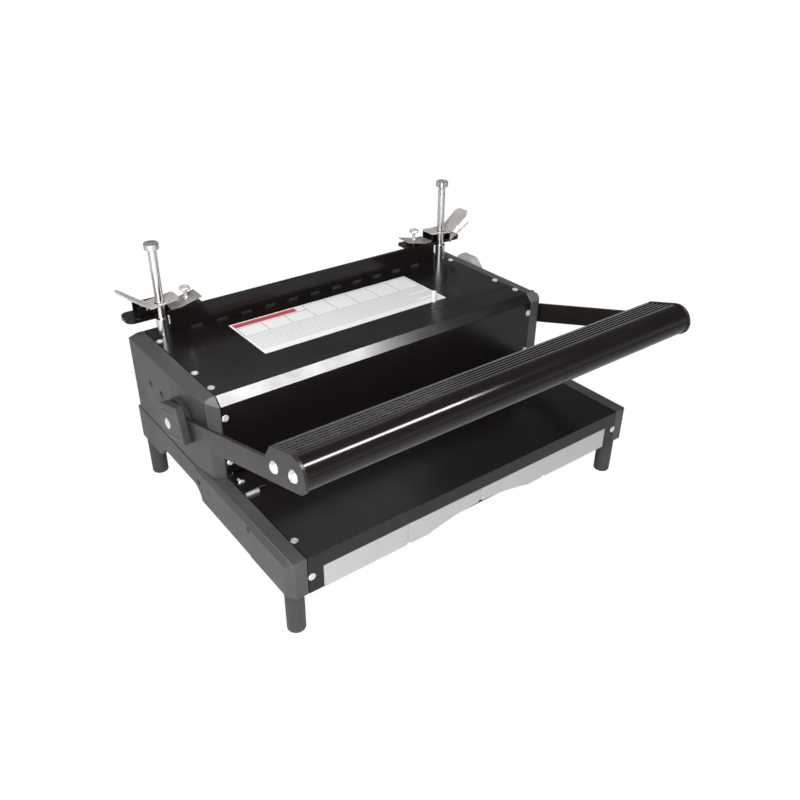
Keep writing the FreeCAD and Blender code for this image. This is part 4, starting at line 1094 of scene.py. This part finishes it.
@dataclass
class PivotCap:
    """Cap over the lever's pivot: a dark shell and a grooved plate let into its face.

    The plate's skirt and shoulder are shares of its thickness, and the groove's flat runs
    between two shares of its width.
    """

    node: str
    bevel: float = 2.2 * MM
    rim: float = 0.35 * MM
    plate: float = 1.5 * MM
    plate_inset: float = 0.5 * MM
    skirt: float = 0.3
    shoulder: float = 0.45
    groove_inset: float = 5.0 * MM
    groove_width: float = 0.7 * MM
    groove_depth: float = 0.5 * MM
    groove_flat: Pair = (0.3, 0.7)
    around: int = 180

    def build(self) -> None:
        """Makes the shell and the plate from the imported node's outline."""
        low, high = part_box(self.node)
        top = high.x - low.x
        seat = top - self.plate
        shell = self.piece("_skin", DARK_PLASTIC, [
            (np.inf, 0.0),
            (0.0, 0.0),
            (0.0, seat - self.rim),
            (self.rim, seat),
            (np.inf, seat),
        ])
        standing_for(shell, self.node)
        start = self.plate_inset
        groove = start + self.groove_inset
        floor = top - self.groove_depth
        plate = self.piece("_plate", CAP_PLASTIC, [
            (np.inf, seat),
            (start, seat),
            (start, seat + self.plate * self.skirt),
            (start + self.rim / 2, seat + self.plate * self.shoulder),
            (start + self.bevel - self.rim / 2, top - self.rim / 2),
            (start + self.bevel + self.rim, top),
            (groove, top),
            (groove + self.groove_width * self.groove_flat[0], floor),
            (groove + self.groove_width * self.groove_flat[1], floor),
            (groove + self.groove_width, top),
            (np.inf, top),
        ])
        lying_on(plate, self.node)

    def piece(self, ending: str, finish: Finish, rings: list[Pair]) -> bpy.types.Object:
        """Makes one closed skin of the cap.

        Args:
            ending: Ending of the piece's name, after the node's.
            finish: Finish of the piece.
            rings: Inset and height of each ring. An endless inset is the middle.

        Returns:
            The piece.
        """
        mesh = closed_mesh(self.node + ending, self.rows(rings))
        shade(mesh, CAP_ANGLE)
        return object_from(self.node + ending, mesh, finish)

    def rows(self, rings: list[Pair]) -> np.ndarray:
        """Gives the rings of the cap, each at an inset from the outline and at a height.

        The outline is convex, so at angle a and inset d the reach from the middle is the
        least of (h - d) / cos(a - b) over its edges, where an edge lies at distance h
        from the middle and faces angle b.

        Args:
            rings: Inset and height of each ring. An endless inset is the middle.

        Returns:
            Array of rings by points by 3.
        """
        low, high = (np.array(corner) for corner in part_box(self.node))
        outline = self.outline()
        middle = (low[1:] + high[1:]) / 2
        edge = np.roll(outline, -1, 0) - outline
        normal = np.stack([edge[:, 1], -edge[:, 0]], -1)
        normal /= np.linalg.norm(normal, axis=1, keepdims=True)
        distance = np.sum(normal * (outline - middle), 1)
        corner = np.arctan2(*(outline - middle).T[::-1])
        angle = np.sort(np.concatenate([np.linspace(-math.pi, math.pi, self.around, False),
                                        corner]))
        way = np.stack([np.cos(angle), np.sin(angle)], -1)
        slope = np.maximum(way @ normal.T, LEAST_SLOPE)
        side = 1.0 if low[0] > 0 else -1.0
        inner = low[0] if low[0] > 0 else high[0]
        rows = []
        for inset, height in rings:
            reach = (np.zeros_like(angle) if np.isinf(inset)
                     else np.min((distance - inset) / slope, 1))
            spot = middle + way * reach[:, None]
            rows.append(np.column_stack([np.full(len(angle), inner + side * height), spot]))
        return np.array(rows)

    def outline(self) -> np.ndarray:
        """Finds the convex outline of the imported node, seen along X.

        Returns:
            Array of corners by 2, anticlockwise.
        """
        mesh = frame["nodes"][self.node].data
        spots = np.empty(len(mesh.vertices) * 3)
        mesh.vertices.foreach_get("co", spots)
        spots = np.round(spots.reshape(-1, 3)[:, 1:], OUTLINE_DIGITS)
        spots = np.unique(spots, axis=0)
        hull = []
        for way in (spots, spots[::-1]):
            chain = []
            for spot in way:
                while len(chain) > 1 and turn_of(*chain[-2:], spot) <= 0:
                    chain.pop()
                chain.append(spot)
            hull += chain[:-1]
        return np.array(hull)


def turn_of(first: np.ndarray, second: np.ndarray, third: np.ndarray) -> float:
    """Finds which way a path over three points turns.

    Args:
        first: Start of the path.
        second: Its middle point.
        third: Its end.

    Returns:
        Twice the area that the points enclose, above zero for a left turn.
    """
    ahead = second - first
    then = third - second
    area = ahead[0] * then[1] - ahead[1] * then[0]
    return area if abs(area) > FLAT_AREA else 0.0


@dataclass
class Lever:
    """Lever: arms, grip, hubs, caps and their screws."""

    arm_ease: float = 0.35 * MM
    grip_ease: float = 0.22 * MM
    hub_ease: float = 0.5 * MM

    def build(self) -> None:
        """Builds and dresses every piece of the lever."""
        for node in ("arm_left", "arm_right"):
            eased(node, self.arm_ease, ARM_ENAMEL)
        eased("handle_grip", self.grip_ease, GRIP_ANODISED)
        eased("pivot_hubs", self.hub_ease, DARK_PLASTIC)
        for node in ("pivot_cap_left", "pivot_cap_right"):
            PivotCap(node).build()
        self.screws("handle_screws", GRIP_SCREW)
        self.screws("cap_screws", CAP_SCREW)

    def screws(self, node: str, kind: ButtonScrew) -> None:
        """Builds the screws of one kind at both ends of the lever, facing outwards.

        Args:
            node: Name of the screws' node.
            kind: The kind of screw.
        """
        parts = []
        for low, high in solids_of(node):
            middle = (low + high) / 2
            facing = Facing.RIGHT if middle[0] > 0 else Facing.LEFT
            outer = high[0] if middle[0] > 0 else low[0]
            seat = np.array([outer, middle[1], middle[2]])
            seat = seat - kind.head_height * np.array(facing.value[2])
            parts.append(placed(kind.rows(), facing, seat))
        standing_for(join_rows(node + "_skin", parts, BRIGHT_PLATE), node)


@dataclass
class Post:
    """Post of the press: a plain shank under a round head with a shallow dish on top.

    The head's lower edge is a share of its radius. Its top is given by rows of a share of
    the radius and a drop below the highest point.
    """

    node: str
    shank: float = 4.0 * MM
    foot_chamfer: float = 0.5 * MM
    head_height: float = 6.0 * MM
    under_share: float = 0.96
    under_chamfer: float = 0.3 * MM
    top: tuple[Pair, ...] = ((1.0, 0.48 * MM), (0.94, 0.12 * MM), (0.9, 0.0),
                             (0.62, 0.1 * MM), (0.55, 0.35 * MM), (0.0, 0.4 * MM))
    around: int = 60

    def build(self) -> None:
        """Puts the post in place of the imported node."""
        low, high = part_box(self.node)
        head = (high.x - low.x) / 2
        under = high.z - self.head_height
        profile = [
            (0, low.z, 0),
            (self.shank - self.foot_chamfer, low.z, 0),
            (self.shank, low.z + self.foot_chamfer, 0),
            (self.shank, under, 0),
            (head * self.under_share, under, 0),
            (head, under + self.under_chamfer, 0),
            *((head * share, high.z - drop, 0) for share, drop in self.top),
        ]
        turned_piece(self.node, profile, self.around, POLISHED_STEEL, angle=POST_ANGLE)


@dataclass
class ThumbScrew:
    """Thumb screw: a stem with a collar, and a neck that flares to a mushroom head.

    The neck and the flare are shares of the stem's radius.
    """

    node: str
    stem: float = 1.8 * MM
    seat_height: float = 8.9 * MM
    collar: float = 2.9 * MM
    collar_height: float = 1.5 * MM
    collar_round: float = 0.3 * MM
    collar_steps: int = 4
    neck: float = 0.92
    neck_rise: float = 0.4 * MM
    flare: float = 1.3
    flare_start: float = 1.2 * MM
    flare_end: float = 0.4 * MM
    head_height: float = 4.0 * MM
    brim_inset: float = 0.5 * MM
    brim_rise: float = 0.4 * MM
    dome_height: float = 2.9 * MM
    dome_rings: int = 12
    around: int = 48

    def build(self) -> None:
        """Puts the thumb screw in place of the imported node.

        The dome's radius falls as cos(a) and its height rises as sin(a), for angles a
        from 0 to pi / 2.
        """
        low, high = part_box(self.node)
        head = (high.x - low.x) / 2
        seat = low.z + self.seat_height
        brim = high.z - self.head_height
        edge = self.collar_round
        ring = self.collar - edge
        top = seat + self.collar_height
        dome = [(head * math.cos(a), high.z - self.dome_height * (1 - math.sin(a)), 0)
                for a in np.linspace(0, QUARTER, self.dome_rings)]
        profile = [
            (0, low.z, 0),
            (self.stem, low.z, 0),
            (self.stem, seat, 0),
            *arc((ring, seat + edge), edge, -90, 0, self.collar_steps),
            *arc((ring, top - edge), edge, 0, 90, self.collar_steps),
            (self.stem * self.neck, top + self.neck_rise, 0),
            (self.stem * self.neck, brim - self.flare_start, 0),
            (self.stem * self.flare, brim - self.flare_end, 0),
            (head - self.brim_inset, brim, 0),
            (head, brim + self.brim_rise, 0),
            *dome,
        ]
        turned_piece(self.node, profile, self.around, BRIGHT_PLATE)


@dataclass
class Press:
    """Strip press: posts, sleeves, bar, clamps, friction plates and thumb screws."""

    bar_ease: float = 0.3 * MM
    bracket_ease: float = 0.2 * MM
    plate_ease: float = 0.25 * MM
    sleeve_ease: float = 0.4 * MM
    hook_ease: float = 0.15 * MM

    def build(self) -> None:
        """Builds and dresses every piece of the press."""
        eased("press_bar", self.bar_ease, BLACK_COAT)
        for side in ("left", "right"):
            eased("clamp_bracket_" + side, self.bracket_ease, BLACK_COAT)
            eased("clamp_plate_" + side, self.plate_ease, CLAMP_ZINC)
            eased("lock_plate_" + side, self.plate_ease, LOCK_ZINC)
            ThumbScrew("thumb_screw_" + side).build()
            Post("post_" + side).build()
        eased("post_sleeves", self.sleeve_ease, POLISHED_STEEL)
        eased("release_lever", self.hook_ease, LOCK_ZINC)


@dataclass
class SmallScrews:
    """Cross-headed screws of the panels, the table and the paper guide."""

    twist_step: float = 0.7
    same: float = 0.1 * MM

    def build(self) -> None:
        """Builds one object of screws for each node."""
        kind = CrossScrew()
        for node in ("body_screws", "table_screws", "side_guide_screw"):
            parts = []
            for number, (low, high) in enumerate(solids_of(node)):
                facing, seat = self.seat(kind, low, high)
                parts.append(placed(kind.rows(number * self.twist_step), facing, seat))
            standing_for(join_rows(node + "_skin", parts, BRIGHT_PLATE), node)

    def seat(self, kind: CrossScrew, low: np.ndarray,
             high: np.ndarray) -> tuple[Facing, np.ndarray]:
        """Finds how a screw sits from the box round it, which is longest along its axis.

        Args:
            kind: The kind of screw.
            low: Lowest corner of the box.
            high: Highest corner of the box.

        Returns:
            The way that the screw faces, and the point under the middle of its head.
        """
        size = high - low
        middle = (low + high) / 2
        if size[1] > size[2] or abs(size[0] - size[2]) < self.same:
            return Facing.FRONT, np.array([middle[0], low[1] + kind.head_height, middle[2]])
        return Facing.UP, np.array([middle[0], middle[1], high[2] - kind.head_height])


@dataclass(frozen=True)
class Lamp:
    """Rectangular soft lamp of some watts, which faces its target.

    The size is a length and a width. The length runs along a direction that is made
    square to where the lamp faces.
    """

    name: str
    power: float
    place: Triple
    target: Triple
    size: Pair
    along: Triple
    lights_matt: bool = True
    shows_in_gloss: bool = True

    def build(self) -> None:
        """Adds the lamp to the scene."""
        data = bpy.data.lights.new(self.name, "AREA")
        data.shape = "RECTANGLE"
        data.size, data.size_y = self.size
        data.energy = self.power
        lamp = bpy.data.objects.new(self.name, data)
        lamp.visible_diffuse = self.lights_matt
        lamp.visible_glossy = self.shows_in_gloss
        place, along = Vector(self.place), Vector(self.along)
        back = (place - Vector(self.target)).normalized()
        length = (along - back * back.dot(along)).normalized()
        lamp.matrix_world = turn_to(length, back.cross(length), back, place)
        bpy.context.scene.collection.objects.link(lamp)


def turn_to(right: Sequence[float], up: Sequence[float], back: Sequence[float],
            place: Sequence[float]) -> Matrix:
    """Makes the transform of a lamp or a camera.

    Args:
        right: Direction of its right side.
        up: Direction of its upper side.
        back: Direction away from what it faces.
        place: Its place.

    Returns:
        The transform.
    """
    turn = Matrix((right, up, back)).transposed().to_4x4()
    turn.translation = place
    return turn


@dataclass
class Studio:
    """Floor, lights and camera.

    The room lights evenly, and shows in gloss as a bright wall that darkens to its ceiling
    between two heights of the view's direction.
    """

    lens: float = 36.42
    sensor: float = 36.0
    nearest: float = 0.01
    eye: Triple = (-0.4291, -0.5589, 0.5217)
    right: Triple = (0.7948, -0.6068, 0.0108)
    up: Triple = (0.3044, 0.4139, 0.8579)
    back: Triple = (-0.525, -0.6786, 0.5137)
    floor_half: float = 6.0
    floor_tone: float = 0.86
    floor_rough: float = 0.9
    floor_glow: float = 1.04
    floor_share: float = 0.94
    room_light: float = 0.27
    room_mirror: Pair = (0.8, 0.16)
    room_fall: Pair = (0.02, 0.4)
    lamps: tuple[Lamp, ...] = (
        Lamp("key", power=6.8, place=(-0.42, -0.40, 0.95), target=(-0.05, 0.0, 0.15),
             size=(0.6, 0.4), along=(0.75, -0.66, 0.0), shows_in_gloss=False),
        Lamp("strip", power=16.5, place=(0.319, -0.579, 1.075), target=(-0.07, 0.005, 0.16),
             size=(0.56, 0.18), along=(0.67, 0.095, -0.155), lights_matt=False),
        Lamp("sky", power=0.7, place=(0.375, 0.92, 1.055), target=(-0.18, -0.1, 0.08),
             size=(0.7, 0.5), along=(0.88, -0.48, 0.0), lights_matt=False),
        Lamp("side", power=12.5, place=(-0.9, -0.75, 0.7), target=(0.0, 0.0, 0.1),
             size=(0.9, 0.7), along=(0.75, -0.9, 0.0)),
    )

    def build(self) -> None:
        """Builds the studio round the object."""
        self.world()
        self.floor()
        for lamp in self.lamps:
            lamp.build()
        self.camera()
        bpy.context.scene.view_settings.view_transform = "Standard"

    def world(self) -> None:
        """Makes a white backdrop for the camera, and a soft grey room with a dark ceiling."""
        world = bpy.data.worlds.new("studio")
        bpy.context.scene.world = world
        world.use_nodes = True
        tree = world.node_tree
        light = tree.nodes["Background"]
        light.inputs["Color"].default_value = (1, 1, 1, 1)
        path = tree.nodes.new("ShaderNodeLightPath")
        way = tree.nodes.new("ShaderNodeTexCoord")
        split = tree.nodes.new("ShaderNodeSeparateXYZ")
        tree.links.new(way.outputs["Generated"], split.inputs[0])
        mirror = ranged(tree, split.outputs["Z"], self.room_fall, *self.room_mirror)
        room = mixed(tree, Blend.FLOAT, path.outputs["Is Glossy Ray"], self.room_light, mirror)
        seen = mixed(tree, Blend.FLOAT, path.outputs["Is Camera Ray"], room, 1.0)
        tree.links.new(seen, light.inputs["Strength"])

    def floor(self) -> None:
        """Lays a pale floor that shows white to the camera and keeps a soft shadow."""
        half = self.floor_half
        mesh = bpy.data.meshes.new("floor")
        corners = [(-half, -half, 0), (half, -half, 0), (half, half, 0), (-half, half, 0)]
        mesh.from_pydata(corners, [], [(0, 1, 2, 3)])
        floor = bpy.data.objects.new("floor", mesh)
        bpy.context.scene.collection.objects.link(floor)
        material = bpy.data.materials.new("floor_paper")
        material.use_nodes = True
        tree = material.node_tree
        shader = tree.nodes["Principled BSDF"]
        shader.inputs["Base Color"].default_value = (*[self.floor_tone] * 3, 1)
        shader.inputs["Roughness"].default_value = self.floor_rough
        glow = tree.nodes.new("ShaderNodeEmission")
        glow.inputs["Strength"].default_value = self.floor_glow
        mix = tree.nodes.new("ShaderNodeMixShader")
        path = tree.nodes.new("ShaderNodeLightPath")
        share = ranged(tree, path.outputs["Is Camera Ray"], (0.0, 1.0), 0.0, self.floor_share)
        tree.links.new(share, mix.inputs[0])
        tree.links.new(shader.outputs[0], mix.inputs[1])
        tree.links.new(glow.outputs[0], mix.inputs[2])
        tree.links.new(mix.outputs[0], tree.nodes["Material Output"].inputs[0])
        mesh.materials.append(material)

    def camera(self) -> None:
        """Puts the camera at the photograph's place."""
        data = bpy.data.cameras.new("camera")
        data.lens = self.lens
        data.sensor_width = self.sensor
        data.clip_start = self.nearest
        camera = bpy.data.objects.new("camera", data)
        camera.matrix_world = turn_to(self.right, self.up, self.back, self.eye)
        bpy.context.scene.collection.objects.link(camera)
        bpy.context.scene.camera = camera


def main() -> None:
    """Builds the object's sub-assemblies in order, then the studio."""
    logging.basicConfig(level=logging.INFO, format="%(name)s: %(message)s")
    for part in (Base(), Body(), Lever(), Press(), SmallScrews(), Studio()):
        part.build()
        log.info("%s done", type(part).__name__)


if __name__ == "__main__":
    main()
